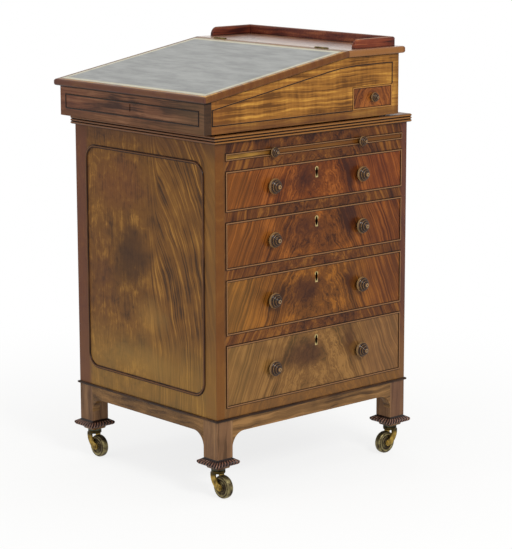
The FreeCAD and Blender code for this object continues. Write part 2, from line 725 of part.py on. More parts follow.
def drawers(big_knob):
    for number in range(1, 5):
        name = f"drawer_{number}"
        floor = f"floor_{number}"
        low = f"{floor} + run_clear"
        top = f"{floor} + {name} - drawer_fit"
        sides = ("bay_front + drawer_fit", "bay_rear - drawer_fit")
        front, ring = beaded_front(f"front_{number}", "half_width", "drawer_front_stock", *sides,
                                   low, top, "bead_width", "bead_proud")
        cut_for_lock(front, f"lock_{number}", "bay_centre", top)
        sub_part(f"{name}_front", [front, ring])
        sub_part(f"{name}_box", drawer_box(f"box_{number}", low, top))
        sub_part(f"{name}_knobs", pair_of_knobs(f"knob_{number}", big_knob, f"{floor} + {name} / 2"))
        sub_part(f"{name}_lock", lock(f"lock_piece_{number}", "bay_centre", top))


def false_drawers(big_knob):
    """Dummy drawer fronts and their knobs on the side away from the drawers."""
    fronts = []
    knobs = []
    for number in range(1, 5):
        floor = f"floor_{number}"
        top = f"{floor} + drawer_{number}"
        fronts.extend(beaded_front(f"dummy_{number}", "half_width", "drawer_front_stock", "bay_front",
                                   "bay_rear", floor, top, "bead_width", "bead_proud"))
        knobs.extend(pair_of_knobs(f"dummy_knob_{number}", big_knob, f"{floor} + drawer_{number} / 2"))
    sub_part("false_drawer_fronts", [mirrored("false_fronts", fronts)])
    sub_part("false_drawer_knobs", [mirrored("false_knobs", knobs)])


def slides(small_knob):
    """A pull-out slide above the drawers on each side."""
    low = "floor_slide + run_clear"
    top = "floor_slide + slide_height - slide_fit"
    sides = ("bay_front + slide_fit", "bay_rear - slide_fit")
    leaf = board("slide_leaf", "half_width - slide_length", sides[0], low, "slide_length - slide_lip",
                 "bay_width - 2 * slide_fit", f"{top} - ({low})")
    front, ring = beaded_front("slide_lip", "half_width", "slide_lip", *sides, low, top,
                               "slide_bead_width", "bead_proud")
    knobs = pair_of_knobs("slide_knob", small_knob, "floor_slide + slide_height / 2")
    sub_part("slide_right_board", [leaf, front, ring])
    sub_part("slide_right_knobs", knobs)
    sub_part("slide_left_board", [mirrored("left_slide", [leaf, front, ring])])
    sub_part("slide_left_knobs", [mirrored("left_slide_knobs", knobs)])


# ---- writing box -------------------------------------------------------------------------------

def dovetail(side, clear="0"):
    """The head of a guide, wider at its top, or with a clearance the groove that it runs in."""
    centre = f"{side} * guide_pitch / 2"
    wide = f"guide_width / 2 + {clear}"
    neck = f"{wide} - guide_flare"
    top = f"box_foot + groove_depth - run_clear + {clear}"
    return [(f"{centre} + {neck}", "box_foot"), (f"{centre} + {wide}", top),
            (f"{centre} - ({wide})", top), (f"{centre} - ({neck})", "box_foot")]


def guides():
    """Two dovetailed bearers on the cabinet top that the writing box slides along."""
    pieces = []
    for side in (-1, 1):
        head = dovetail(side)
        neck = [(head[-1][0], "board_top"), (head[0][0], "board_top")]
        body = new_body("guide_left" if side < 0 else "guide_right")
        pad(body, f"{body.Name}_pad", "XZ_Plane", neck + head,
            "cab_depth - 2 * guide_inset", "guide_inset - half_depth")
        pieces.append(body)
    sub_part("box_guides", pieces)


def box_bottom():
    """The bottom between the walls, grooved from the rear for the guides."""
    body = new_body("box_bottom_body")
    x = "half_box - wall_side"
    front = "box_front + wall_front"
    pad(body, "bottom_pad", "XY_Plane", rectangle(f"0 - ({x})", front, x, "box_rear"),
        "box_bottom_stock", "box_foot")
    for side in (-1, 1):
        pocket(body, f"groove_{'left' if side < 0 else 'right'}", "XZ_Plane",
               dovetail(side, "run_clear"), "box_depth", f"0 - ({front})")
    return body


def wall_height(y):
    """The top of the side walls at a place in front of the hinge line."""
    return f"box_foot + box_front_height + slope * ({y} - (box_front))"


def box_front():
    body = new_body("box_front_body")
    inner = "box_front + wall_front"
    pad(body, "front_wall", "YZ_Plane",
        [("box_front", "box_foot"), (inner, "box_foot"), (inner, wall_height(inner)),
         ("box_front", wall_height("box_front"))], "box_width", "0 - half_box")
    top = "box_foot + box_front_height - front_key_drop"
    pocket(body, "front_key_way", "XZ_Plane",
           rectangle("0 - key_slot / 2", f"{top} - front_key_height", "key_slot / 2", top),
           "wall_front", "0 - box_front")
    return body


def side_wall(name, offset):
    body = new_body(name)
    inner = "box_front + wall_front"
    pad(body, f"{name}_pad", "YZ_Plane",
        [(inner, "box_foot"), ("box_rear", "box_foot"), ("box_rear", "wall_top"),
         ("hinge_y", "wall_top"), (inner, wall_height(inner))], "wall_side", offset)
    return body


def box_walls():
    right = side_wall("box_side_right_body", "half_box - wall_side")
    pocket(right, "pen_bay", "YZ_Plane", rectangle("pen_front", "pen_foot", "pen_back", "pen_top"),
           "wall_side", "half_box")
    sub_part("box_side_right", [right])
    sub_part("box_side_left", [side_wall("box_side_left_body", "0 - half_box")])
    sub_part("box_front", [box_front()])
    sub_part("box_bottom", [box_bottom()])
    sub_part("box_back", [board("back_wall", "wall_side - half_box", "box_back_face", "box_floor",
                                "box_width - 2 * wall_side", "wall_back", "wall_top - box_floor")])


def dividers():
    """The compartment inside the box that the pen drawer runs in."""
    inner = "half_box - wall_side"
    tail = "half_box - pen_length - pen_stop_gap - divider_stock"
    length = f"{inner} - ({tail})"
    depth = "box_back_face - pen_front"
    return [
        board("pen_runner", tail, "pen_front", "box_floor", length, depth, "pen_foot - box_floor"),
        board("pen_partition", tail, "pen_front - divider_stock", "box_floor", length, "divider_stock",
              "pen_top - box_floor"),
        board("pen_end", tail, "pen_front", "pen_foot", "divider_stock", depth, "pen_height"),
        board("pen_ceiling", tail, "pen_front - divider_stock", "pen_top", length,
              f"{depth} + divider_stock", "divider_stock")]


def hinge_notch(body, name, sign):
    """Room for the two knuckle barrels at the joint between lid and shelf."""
    reach = "knuckle_radius + run_clear"
    low = "hinge_y" if sign > 0 else f"hinge_y - ({reach})"
    high = f"hinge_y + {reach}" if sign > 0 else "hinge_y"
    for side, mark in (("left", "0 -"), ("right", "")):
        pocket(body, f"{name}_{side}", "XY_Plane",
               rectangle(f"{mark} hinge_pitch / 2 - hinge_length / 2 - run_clear", low,
                         f"{mark} hinge_pitch / 2 + hinge_length / 2 + run_clear", high),
               reach, "shelf_top")


def leaf_seat(body, name, sign):
    """The sinking in a joint face that takes a hinge leaf."""
    low = "hinge_y" if sign > 0 else "hinge_y - hinge_leaf - lid_joint / 2"
    high = "hinge_y + hinge_leaf + lid_joint / 2" if sign > 0 else "hinge_y"
    for side, mark in (("left", "0 -"), ("right", "")):
        pocket(body, f"{name}_{side}", "XY_Plane",
               rectangle(f"{mark} hinge_pitch / 2 - hinge_length / 2", low,
                         f"{mark} hinge_pitch / 2 + hinge_length / 2", high), "hinge_drop", "shelf_top")


def shelf():
    """The level top behind the lid."""
    body = new_body("box_shelf_body")
    reach = "half_box + lid_overhang"
    front = "hinge_y + lid_joint / 2"
    slab = pad(body, "shelf_pad", "XY_Plane",
               rectangle(f"0 - ({reach})", front, reach, "box_rear + lid_overhang"), "lid_stock", "wall_top")
    face = value(front)
    round_edges(body, "shelf_nosing", slab,
                lambda edge: is_level(edge) and edge.BoundBox.YMax > face + TINY, "lid_nose")
    hinge_notch(body, "shelf_notch", 1)
    leaf_seat(body, "shelf_leaf_seat", 1)
    outer = "half_box - gallery_inset"
    inner = f"{outer} - gallery_stock"
    start = "hinge_y + gallery_setback"
    rear = "box_rear - gallery_inset"
    pocket(body, "gallery_groove", "XY_Plane",
           [(f"0 - ({outer})", start), (f"0 - ({outer})", rear), (outer, rear), (outer, start),
            (inner, start), (inner, f"{rear} - gallery_stock"),
            (f"0 - ({inner})", f"{rear} - gallery_stock"), (f"0 - ({inner})", start)],
           "gallery_housing", "shelf_top")
    return body


def gallery():
    """Three low rails housed in the shelf; the side rails sweep down at the front."""
    outer = "half_box - gallery_inset"
    front = "hinge_y + gallery_setback"
    rear = "box_rear - gallery_inset"
    foot = "shelf_top - gallery_housing"
    top = "shelf_top + gallery_height"
    body = new_body("gallery_side")
    sweep = f"gallery_sweep * {QUARTER_ARC:.6f}"
    pad(body, "gallery_side_pad", "YZ_Plane",
        [(front, foot), (rear, foot), (rear, top),
         (f"{front} + gallery_lean + gallery_sweep", top),
         ("arc", f"{front} + gallery_lean + {sweep}", f"{top} - {sweep}"),
         (f"{front} + gallery_lean", f"{top} - gallery_sweep"), (front, "shelf_top")],
        "gallery_stock", f"{outer} - gallery_stock")
    rail = board("gallery_rail", f"gallery_stock - ({outer})", f"{rear} - gallery_stock", foot,
                 f"2 * ({outer} - gallery_stock)", "gallery_stock", "gallery_height + gallery_housing")
    return [body, mirrored("gallery_side_left", [body]), rail]


def strip_profile(plane, offset, face, level):
    """The half-round section of a bead that stands on a face."""
    return (plane, offset, [(face[0], f"{level} - line_width / 2"),
                            ("arc", face[1], level), (face[0], f"{level} + line_width / 2")])


def side_line(side):
    """The path of the bead on a box side: level foot, upright ends and a head that eases into the slope.

    On the drawer side it starts and ends at the pen drawer, whose own bead closes it.
    """
    ease = f"line_ease * {1 / math.hypot(1, value('slope')):.6f}"
    points = [("line_front", "line_level"),
              ("line_front", "line_top - slope * (hinge_y - (line_front))"),
              (f"hinge_y - {ease}", f"line_top - slope * {ease}"),
              ("arc", "hinge_y", "line_top - slope * line_ease / 4"),
              ("hinge_y + line_ease", "line_top"),
              ("pen_back", "line_top"), ("pen_back", "pen_top" if side > 0 else "line_level")]
    return [("pen_front", "line_level")] + points if side > 0 else points


def box_lines():
    """Beads on the front and the two sides of the box."""
    front = new_body("front_line")
    x = "half_box - line_inset"
    head = "box_foot + box_front_height - front_line_head"
    run_moulding(front, "front_line_bead",
                 ("XZ_Plane", "0 - box_front", rectangle(f"0 - ({x})", "line_level", x, head)),
                 strip_profile("YZ_Plane", "0", ("box_front", "box_front - line_proud"), "line_level"))
    right = new_body("right_line")
    run_moulding(right, "right_line_bead", ("YZ_Plane", "half_box", side_line(1)),
                 strip_profile("XZ_Plane", "0 - pen_front",
                               ("half_box", "half_box + line_proud"), "line_level"), closed=False)
    left = new_body("left_line")
    middle = "(line_front + pen_back) / 2"
    run_moulding(left, "left_line_bead", ("YZ_Plane", "0 - half_box", side_line(-1)),
                 strip_profile("XZ_Plane", f"0 - ({middle})",
                               ("0 - half_box", "0 - half_box - line_proud"), "line_level"))
    return [front, right, left]


def box_lock():
    """The lid lock on the inside of the front wall."""
    return [board("lid_lock_case", "0 - lock_width / 2", "box_front + wall_front",
                  "box_foot + box_front_height - lid_lock_drop - lock_height",
                  "lock_width", "lock_stock", "lock_height")]


def lid_section(back, top_drop, bottom_drop, front):
    """A slanted section in front of the hinge line, between two depths below the lid's top."""
    def level(y, drop):
        return f"shelf_top + slope * ({y} - (hinge_y)) - ({drop})"
    return [(front, level(front, bottom_drop)), (back, level(back, bottom_drop)),
            (back, level(back, top_drop)), (front, level(front, top_drop))]


def lid():
    body = new_body("lid_body")
    reach = "half_box + lid_overhang"
    front = "box_front - lid_overhang"
    back = "hinge_y - lid_joint / 2"
    slab = pad(body, "lid_pad", "YZ_Plane", lid_section(back, "0", "lid_stock - lid_rest", front),
               f"2 * ({reach})", f"0 - ({reach})")
    face = value(back)
    round_edges(body, "lid_nosing", slab, lambda edge: is_nosing(edge, face), "lid_nose")
    margin = "leather_margin"
    pocket(body, "leather_seat", "YZ_Plane",
           lid_section(f"{back} - {margin}", "0 - weld", "leather_stock", f"{front} + {margin}"),
           f"2 * ({reach} - {margin})", f"{reach} - {margin}")
    hinge_notch(body, "lid_notch", -1)
    leaf_seat(body, "lid_leaf_seat", -1)
    return body


def is_nosing(edge, rear_face):
    """The long edges at the front and sides of the lid, not those of its thickness or its rear face."""
    box = edge.BoundBox
    stock = value("lid_stock")
    return max(box.XLength, box.YLength) > stock and box.YMin < rear_face - TINY


def leather():
    body = new_body("leather_body")
    reach = "half_box + lid_overhang - leather_margin"
    pad(body, "leather_pad", "YZ_Plane",
        lid_section("hinge_y - lid_joint / 2 - leather_margin", "0", "leather_stock",
                    "box_front - lid_overhang + leather_margin"), f"2 * ({reach})", f"0 - ({reach})")
    return body


def hinges():
    """Butt hinges about X: a fixed leaf with two barrels and the pin, and a lid leaf with one barrel."""
    third = "(hinge_length - 2 * knuckle_gap) / 3"
    start = "0 - hinge_length / 2"
    end = "hinge_length / 2"
    inner = f"{start} + {third}"
    outer = f"{end} - {third}"
    clear = "knuckle_radius + run_clear"
    near = "lid_joint / 2"
    far = "lid_joint / 2 + hinge_leaf"
    fixed = new_body("hinge_fixed_body")
    pad(fixed, "fixed_leaf", "XY_Plane", rectangle(start, near, end, far), "hinge_drop", "0 - hinge_drop")
    pocket(fixed, "fixed_gap", "XY_Plane", rectangle(inner, "0", outer, f"2 * ({far})"), clear)
    turn(fixed, "fixed_barrels",
         [(start, "0"), (start, "knuckle_radius"), (inner, "knuckle_radius"), (inner, "pin_radius"),
          (outer, "pin_radius"), (outer, "knuckle_radius"), (end, "knuckle_radius"), (end, "0")], "XY_Plane")
    moving = new_body("hinge_lid_body")
    pad(moving, "lid_leaf", "XY_Plane", rectangle(start, f"0 - ({far})", end, f"0 - ({near})"),
        "hinge_drop", "0 - hinge_drop")
    low = f"{inner} + knuckle_gap"
    high = f"{outer} - knuckle_gap"
    for side, u0, u1 in (("left", start, low), ("right", high, end)):
        pocket(moving, f"lid_gap_{side}", "XY_Plane", rectangle(u0, f"0 - 2 * ({far})", u1, "0"), clear)
    turn(moving, "lid_barrel",
         [(low, "0"), (low, "knuckle_radius"), (high, "knuckle_radius"), (high, "0")], "XY_Plane")
    pocket(moving, "lid_bore", "YZ_Plane", circle("pin_radius + pin_fit"), "hinge_length", end)
    return fixed, moving


def writing_box(pen_knob):
    guides()
    box_walls()
    sub_part("box_dividers", dividers())
    sub_part("box_shelf", [shelf()])
    sub_part("box_gallery", gallery())
    sub_part("box_lines", box_lines())
    sub_part("box_lock", box_lock())
    fixed, moving = hinges()
    places = ("0 - hinge_pitch / 2", "hinge_pitch / 2")
    sub_part("hinge_fixed", [copy_at(f"hinge_fixed_{number}", fixed, x, "hinge_y", "shelf_top")
                             for number, x in enumerate(places, start=1)])
    sub_part("lid_board", [lid()])
    sub_part("lid_leather", [leather()])
    sub_part("hinge_lid", [copy_at(f"hinge_lid_{number}", moving, x, "hinge_y", "shelf_top")
                           for number, x in enumerate(places, start=1)])
    pen_drawer(pen_knob)


def pen_drawer(pen_knob):
    low = "pen_foot + run_clear"
    top = "pen_top - drawer_fit"
    sides = ("pen_front + drawer_fit", "pen_back - drawer_fit")
    front, ring = beaded_front("pen_drawer_face", "half_box", "pen_front_stock", *sides, low, top,
                               "bead_width", "line_proud")
    tail = "half_box - pen_length"
    length = "pen_length - pen_front_stock"
    inner = "pen_width - 2 * drawer_fit - 2 * pen_side_stock"
    height = f"{top} - ({low}) - side_drop"
    start = f"{sides[0]} + pen_side_stock"
    tray = [
        board("tray_side_1", tail, sides[0], low, length, "pen_side_stock", height),
        board("tray_side_2", tail, f"{sides[1]} - pen_side_stock", low, length, "pen_side_stock", height),
        board("tray_back", tail, start, low, "pen_side_stock", inner, height),
        board("tray_bottom", f"{tail} + pen_side_stock", start, low, f"{length} - pen_side_stock", inner,
              "pen_side_stock")]
    sub_part("pen_drawer", [front, ring] + tray)
    sub_part("pen_drawer_knob", [copy_at("pen_knob_set", pen_knob, "half_box", "(pen_front + pen_back) / 2",
                                         "pen_foot + pen_height / 2")])


# ---- the whole desk ----------------------------------------------------------------------------

def check(items):
    """Stop on a feature that failed or a sub-part that isn't sound."""
    for item in items:
        if "Invalid" in item.State or "Error" in item.State:
            raise RuntimeError(f"{item.Name} failed: {item.State}")
    for item in SUB_PARTS:
        if item.Shape.isNull() or not item.Shape.isValid():
            raise RuntimeError(f"{item.Label} has no valid shape")


big_knob = knob("big_knob", "knob_radius", "knob_proud")
small_knob = knob("small_knob", "slide_knob_radius", "slide_knob_proud",
                  "slide_stalk", "slide_stalk_radius")
pen_knob = knob("pen_knob", "pen_knob_radius", "pen_knob_proud")
carcase()
plinth()
casters()
drawers(big_knob)
false_drawers(big_knob)
slides(small_knob)
writing_box(pen_knob)
doc.recompute()
check(doc.Objects)

os.makedirs("parts", exist_ok=True)
for item in SUB_PARTS:
    item.Shape.exportStep(f"parts/{item.Label}.step")
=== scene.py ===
"""A Regency davenport desk: its veneers, leather, brass and turned work, round a fixed frame.

Sizes are in millimetres and are turned to metres where a mesh is made. The writer sits on the -Y
side, the drawers open towards +X and +Z is up.
"""

import logging
from collections.abc import Callable
from dataclasses import dataclass, replace
from enum import Enum
from functools import partial
from typing import Any

import bmesh
import bpy
import numpy as np
from mathutils import Matrix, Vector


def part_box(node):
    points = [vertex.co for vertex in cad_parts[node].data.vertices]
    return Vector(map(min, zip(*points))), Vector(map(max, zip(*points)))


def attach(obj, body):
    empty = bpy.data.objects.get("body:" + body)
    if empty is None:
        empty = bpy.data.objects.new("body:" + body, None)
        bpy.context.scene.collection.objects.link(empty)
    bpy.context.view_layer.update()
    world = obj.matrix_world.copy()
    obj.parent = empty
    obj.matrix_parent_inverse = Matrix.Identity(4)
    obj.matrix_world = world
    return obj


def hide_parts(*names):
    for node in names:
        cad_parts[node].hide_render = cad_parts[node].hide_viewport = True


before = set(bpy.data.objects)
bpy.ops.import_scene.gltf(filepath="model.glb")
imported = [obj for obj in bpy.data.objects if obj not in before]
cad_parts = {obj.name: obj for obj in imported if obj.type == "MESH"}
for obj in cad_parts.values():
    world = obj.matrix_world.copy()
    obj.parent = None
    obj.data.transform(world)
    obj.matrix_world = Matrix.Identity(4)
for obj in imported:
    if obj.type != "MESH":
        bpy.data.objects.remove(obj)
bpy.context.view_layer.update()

MM = 0.001
LOG = logging.getLogger("davenport")
Socket = bpy.types.NodeSocket
Put = Callable[..., Socket]

# Points nearer to each other than this, in metres, are one.
WELD = 1e-6
# The lid's slope: how far it rises for each millimetre away from the writer.
LID_SLOPE = 62 / 364.5
# The way that the stringing's painted highlight faces: up, and half as much to the writer.
PAINTED_LIGHT_FROM = (0.0, -0.5, 0.87)
# The settings of a node that mixes colours, and of one whose share comes and goes softly.
RGBA = {"data_type": "RGBA"}
SOFT = {"interpolation_type": "SMOOTHSTEP"}


class Axis(Enum):
    """A measure of where a point of a piece lies, which a grain or a wash may follow.

    X, Y and Z are its places along the frame's axes. HOLLOW is how deep in a groove of the piece's
    own it lies, from 0 to 1. RIM is how deep it lies inside the nearest of a veneer's panels, and
    LINE how far from that panel's outline, to either side. PITCH is its height less what the lid's
    slope gives there. PAINTED_LIGHT is how far its face looks the way that a painted highlight
    faces, up and half as much to the writer, from -1 to 1.
    """

    X = "X"
    Y = "Y"
    Z = "Z"
    HOLLOW = "hollow"
    RIM = "rim"
    LINE = "line"
    PITCH = "pitch"
    PAINTED_LIGHT = "crest"


X, Y, Z = Axis.X, Axis.Y, Axis.Z


# ---- colour, nodes and meshes --------------------------------------------------------------------

def linear(code: str) -> tuple[float, float, float, float]:
    """Turn an sRGB hex value into the linear colour that a shader socket takes.

    Args:
        code: the colour as rrggbb.

    Returns:
        Red, green, blue and an alpha of 1.
    """
    parts = [int(code[start:start + 2], 16) / 255 for start in (0, 2, 4)]
    red, green, blue = [part / 12.92 if part <= 0.04045 else ((part + 0.055) / 1.055) ** 2.4
                        for part in parts]
    return red, green, blue, 1.0


def add(tree: bpy.types.NodeTree, kind: str, inputs: dict[int | str, Any] | None = None,
        settings: dict[str, Any] | None = None, output: int | str = 0) -> Socket | None:
    """Add one node, set it up and link it.

    Inputs that share a name go by number. A MapRange node turns its input 0 from the range of 1
    and 2 to that of 3 and 4. A Mix node's values are its inputs 2 and 3, and its colours are its
    inputs 6 and 7 and its output 2.

    Args:
        tree: the node tree that takes it.
        kind: the node's type, without the leading ShaderNode.
        inputs: for each input's name or number, a socket to link or a value to set.
        settings: the node's own properties.
        output: the name or number of the output to hand on.

    Returns:
        That output socket, or None for a node that has none.
    """
    node = tree.nodes.new(f"ShaderNode{kind}")
    for name, setting in (settings or {}).items():
        setattr(node, name, setting)
    for name, given in (inputs or {}).items():
        if isinstance(given, Socket):
            tree.links.new(given, node.inputs[name])
        else:
            node.inputs[name].default_value = given
    return node.outputs[output] if len(node.outputs) else None


def blank_material(name: str) -> tuple[bpy.types.Material, Put]:
    """Make a material with an empty node tree.

    Args:
        name: the material's name.

    Returns:
        The material, and the function that adds a node to its tree.
    """
    material = bpy.data.materials.new(name)
    material.use_nodes = True
    material.node_tree.nodes.clear()
    return material, partial(add, material.node_tree)


@dataclass(frozen=True)
class Surface:
    """A mesh in the making.

    Attributes:
        points: one row of x, y, z for each point, in millimetres.
        faces: one row of four point numbers for each face.
        hollow: for each point, how deep in a groove it lies, from 0 to 1, where it has grooves.
    """

    points: np.ndarray
    faces: np.ndarray
    hollow: np.ndarray | None = None

    def moved(self, x: float = 0, y: float = 0, z: float = 0) -> "Surface":
        """Give the surface shifted by these distances."""
        return replace(self, points=self.points + np.array([x, y, z]))

    def turned(self, degrees: float, axis: str) -> "Surface":
        """Give the surface turned about an axis through the origin."""
        turn = np.array(Matrix.Rotation(np.radians(degrees), 3, axis))
        return replace(self, points=self.points @ turn.T)

    @staticmethod
    def joined(parts: list["Surface"]) -> "Surface":
        """Put surfaces together.

        Args:
            parts: the surfaces, which have hollows all or none.

        Returns:
            One surface that holds them all.
        """
        starts = np.cumsum([0] + [len(part.points) for part in parts[:-1]])
        hollows = [part.hollow for part in parts if part.hollow is not None]
        return Surface(np.concatenate([part.points for part in parts]),
                       np.concatenate([part.faces + start for part, start in zip(parts, starts)]),
                       np.concatenate(hollows) if hollows else None)


def grid_faces(rows: int, columns: int, close_rows: bool = False,
               close_columns: bool = False) -> np.ndarray:
    """Join a grid of points, numbered row by row, into four-sided faces.

    Args:
        rows: how many rows of points there are.
        columns: how many points a row has.
        close_rows: whether the last row joins the first.
        close_columns: whether a row's last point joins its first.

    Returns:
        One row of four point numbers for each face.
    """
    row = np.arange(rows if close_rows else rows - 1)[:, None]
    column = np.arange(columns if close_columns else columns - 1)[None, :]
    after, beside = (row + 1) % rows, (column + 1) % columns
    corners = [row * columns + column, row * columns + beside,
               after * columns + beside, after * columns + column]
    return np.stack(corners, -1).reshape(-1, 4)


def eased(knots: list[tuple[float, ...]], count: int) -> np.ndarray:
    """Draw a profile through knots and round its corners off.

    The line is walked in equal steps, then each step but the two ends is averaged with its
    neighbours: a quarter of each of them and half of itself.

    Args:
        knots: the profile's corners, of two coordinates and any other measure each.
        count: how many points it gets.

    Returns:
        One row of the coordinates and measures for each point.
    """
    corners = np.array(knots, dtype=float)
    runs = np.linalg.norm(np.diff(corners[:, :2], axis=0), axis=1)
    walked = np.concatenate([[0], np.cumsum(runs)])
    steps = np.linspace(0, walked[-1], count)
    line = np.stack([np.interp(steps, walked, column) for column in corners.T], -1)
    line[1:-1] = (line[:-2] + 2 * line[1:-1] + line[2:]) / 4
    return line


def lathe(profile: np.ndarray, steps: int, closed: bool = False) -> Surface:
    """Turn a profile of radius and height about the Z axis.

    Point (i, j) is the profile's point i at the angle j of a full turn: x = r cos a, y = r sin a,
    z = height.

    Args:
        profile: one row of radius and height for each point.
        steps: how many points a full turn has.
        closed: whether the profile is a ring of its own, as round a bore.

    Returns:
        The turned surface.
    """
    angle = np.linspace(0, 2 * np.pi, steps, endpoint=False)
    radius, height = profile[:, :1], profile[:, 1:]
    points = np.stack([radius * np.cos(angle), radius * np.sin(angle), height + 0 * angle], -1)
    return Surface(points.reshape(-1, 3), grid_faces(len(profile), steps, closed, True))


def mitres(path: np.ndarray, closed: bool) -> np.ndarray:
    """Give the step that moves each point of a path sideways, so that every run moves by 1.

    It is the sum of the two runs' right-hand normals over one plus their product, which at an end
    of an open path is the one run's own normal.

    Args:
        path: one row of two coordinates for each point.
        closed: whether the last point joins the first.

    Returns:
        One row of two coordinates for each point.
    """
    run = np.roll(path, -1, axis=0) - path
    run /= np.linalg.norm(run, axis=1, keepdims=True)
    after = np.stack([run[:, 1], -run[:, 0]], -1)
    before = np.roll(after, 1, axis=0)
    if not closed:
        after[-1], before[0] = before[-1], after[0]
    return (before + after) / (1 + np.sum(before * after, axis=1, keepdims=True))


def rounded_rectangle(half_wide: float, low: float, high: float, corner: float,
                      steps: int = 16) -> np.ndarray:
    """Draw a rectangle with round corners, anticlockwise.

    Each corner is a quarter circle about a centre that lies the corner's radius inside both sides.

    Args:
        half_wide: half its width, about zero.
        low: its lower side.
        high: its upper side.
        corner: the corners' radius.
        steps: how many points a corner has.

    Returns:
        One row of two coordinates for each point.
    """
    quarter = np.linspace(0, np.pi / 2, steps)
    start = np.repeat(np.arange(4) * np.pi / 2, steps) + np.tile(quarter, 4)
    wide = np.repeat([1, -1, -1, 1], steps) * (half_wide - corner)
    tall = np.repeat([high - corner, high - corner, low + corner, low + corner], steps)
    return np.stack([wide + corner * np.cos(start), tall + corner * np.sin(start)], -1)


def carried(path: np.ndarray, profile: np.ndarray) -> Surface:
    """Carry a closed profile round a closed flat path, with mitred corners.

    Point (i, j) is the path's point i, moved out along its mitre by the profile's first coordinate
    and up by its second one. The path lies in x and y, and up is z.

    Args:
        path: one row of two coordinates for each point.
        profile: one row of out and up for each point.

    Returns:
        The moulding.
    """
    flat = path[:, None, :] + mitres(path, True)[:, None, :] * profile[None, :, :1]
    up = np.broadcast_to(profile[None, :, 1:], (len(path), len(profile), 1))
    points = np.concatenate([flat, up], -1)
    return Surface(points.reshape(-1, 3), grid_faces(len(path), len(profile), True, True))


def make_piece(name: str, surface: Surface, finish: bpy.types.Material, body: str,
               stands_for: str, crease: float = 40.0) -> None:
    """Turn a surface into a Blender object that moves with a body and stands for a CAD node.

    Args:
        name: the object's name.
        surface: its shape.
        finish: its material.
        body: the body that it moves with.
        stands_for: the node that it replaces.
        crease: the angle in degrees past which an edge stays sharp.
    """
    mesh = bpy.data.meshes.new(name)
    mesh.from_pydata(surface.points * MM, [], surface.faces.tolist())
    if surface.hollow is not None:
        mesh.attributes.new("hollow", "FLOAT", "POINT").data.foreach_set("value", surface.hollow)
    shape = bmesh.new()
    shape.from_mesh(mesh)
    bmesh.ops.remove_doubles(shape, verts=shape.verts, dist=WELD)
    bmesh.ops.recalc_face_normals(shape, faces=shape.faces)
    shape.to_mesh(mesh)
    shape.free()
    mesh.polygons.foreach_set("use_smooth", np.ones(len(mesh.polygons), dtype=bool))
    mesh.set_sharp_from_angle(angle=np.radians(crease))
    mesh.materials.append(finish)
    piece = bpy.data.objects.new(name, mesh)
    bpy.context.scene.collection.objects.link(piece)
    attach(piece, body)
    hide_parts(stands_for)
    LOG.info("%s: %d points on %s", name, len(mesh.vertices), body)


def dress(nodes: dict[str, bpy.types.Material]) -> None:
    """Give each named CAD node its finish.

    Args:
        nodes: for each node's name, its material.
    """
    for name, finish in nodes.items():
        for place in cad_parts[name].material_slots:
            place.material = finish
        LOG.info("%s: %s", name, finish.name)


def box_mm(node: str) -> tuple[np.ndarray, np.ndarray]:
    """Give a node's lowest and highest corners in millimetres."""
    low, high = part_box(node)
    return np.array(low) / MM, np.array(high) / MM


def outline(node: str, *axes: Axis) -> tuple[float, ...]:
    """Give a node's extent along some axes.

    Args:
        node: the CAD node.
        axes: the axes, each X, Y or Z.

    Returns:
        Its lowest and highest place along each of them, in the order given.
    """
    low, high = box_mm(node)
    places = ["XYZ".index(axis.value) for axis in axes]
    return tuple(float(end) for place in places for end in (low[place], high[place]))


def depth_inside(put: Put, places: tuple[Socket, Socket],
                 rectangle: tuple[float, ...]) -> Socket:
    """Measure how deep a point lies inside a rectangle.

    It is the lesser of two differences, one for each axis: half the rectangle's size less the
    distance from its middle. Outside the rectangle it is below zero.

    Args:
        put: the function that adds a node.
        places: the point's place along the two axes.
        rectangle: the rectangle's lowest and highest place along each axis.

    Returns:
        The depth.
    """
    depths = []
    for place, start, end in zip(places, rectangle[::2], rectangle[1::2]):
        off = put("Math", {0: place, 1: (start + end) / 2}, {"operation": "SUBTRACT"})
        away = put("Math", {0: off}, {"operation": "ABSOLUTE"})
        depths.append(put("Math", {0: (end - start) / 2, 1: away}, {"operation": "SUBTRACT"}))
    return put("Math", dict(enumerate(depths)), {"operation": "MINIMUM"})


# ---- finishes ------------------------------------------------------------------------------------

class Figure(Enum):
    """The way the lines of a veneer run."""

    STRAIGHT = "straight"
    ARCHED = "arched"
    CROTCH = "crotch"
    RIPPLED = "rippled"


@dataclass(frozen=True)
class Wash:
    """A tint that comes in along one measure: old wax, sunlight and wear, and painted light and
    shade.

    Attributes:
        tint: its colour.
        axis: the measure.
        start: where it begins, in millimetres unless the measure is a share.
        end: where it is full.
        share: how much of the surface's colour it then takes the place of.
    """

    tint: str
    axis: Axis
    start: float
    end: float
    share: float


@dataclass(frozen=True)
class Patch:
    """An oval of another tint in a veneer, which fades out towards its edge.

    Attributes:
        tint: its colour.
        centre: its middle, across and along the grain.
        reach: how far it reaches, across and along the grain.
        share: how much of the surface's colour it takes the place of in its middle.
    """

    tint: str
    centre: tuple[float, float]
    reach: tuple[float, float]
    share: float


def washed(put: Put, tint: Socket, axes: dict[Axis, Socket], washes: tuple[Wash, ...]) -> Socket:
    """Lay tints over parts of a surface, one after the other.

    Args:
        put: the function that adds a node.
        tint: the surface's own colour.
        axes: the measures that a wash may follow.
        washes: the tints.

    Returns:
        The colour with all of them.
    """
    for wash in washes:
        share = put("MapRange", {0: axes[wash.axis], 1: wash.start, 2: wash.end, 3: 0.0,
                                 4: wash.share}, SOFT)
        tint = put("Mix", {0: share, 6: tint, 7: linear(wash.tint)}, RGBA, 2)
    return tint


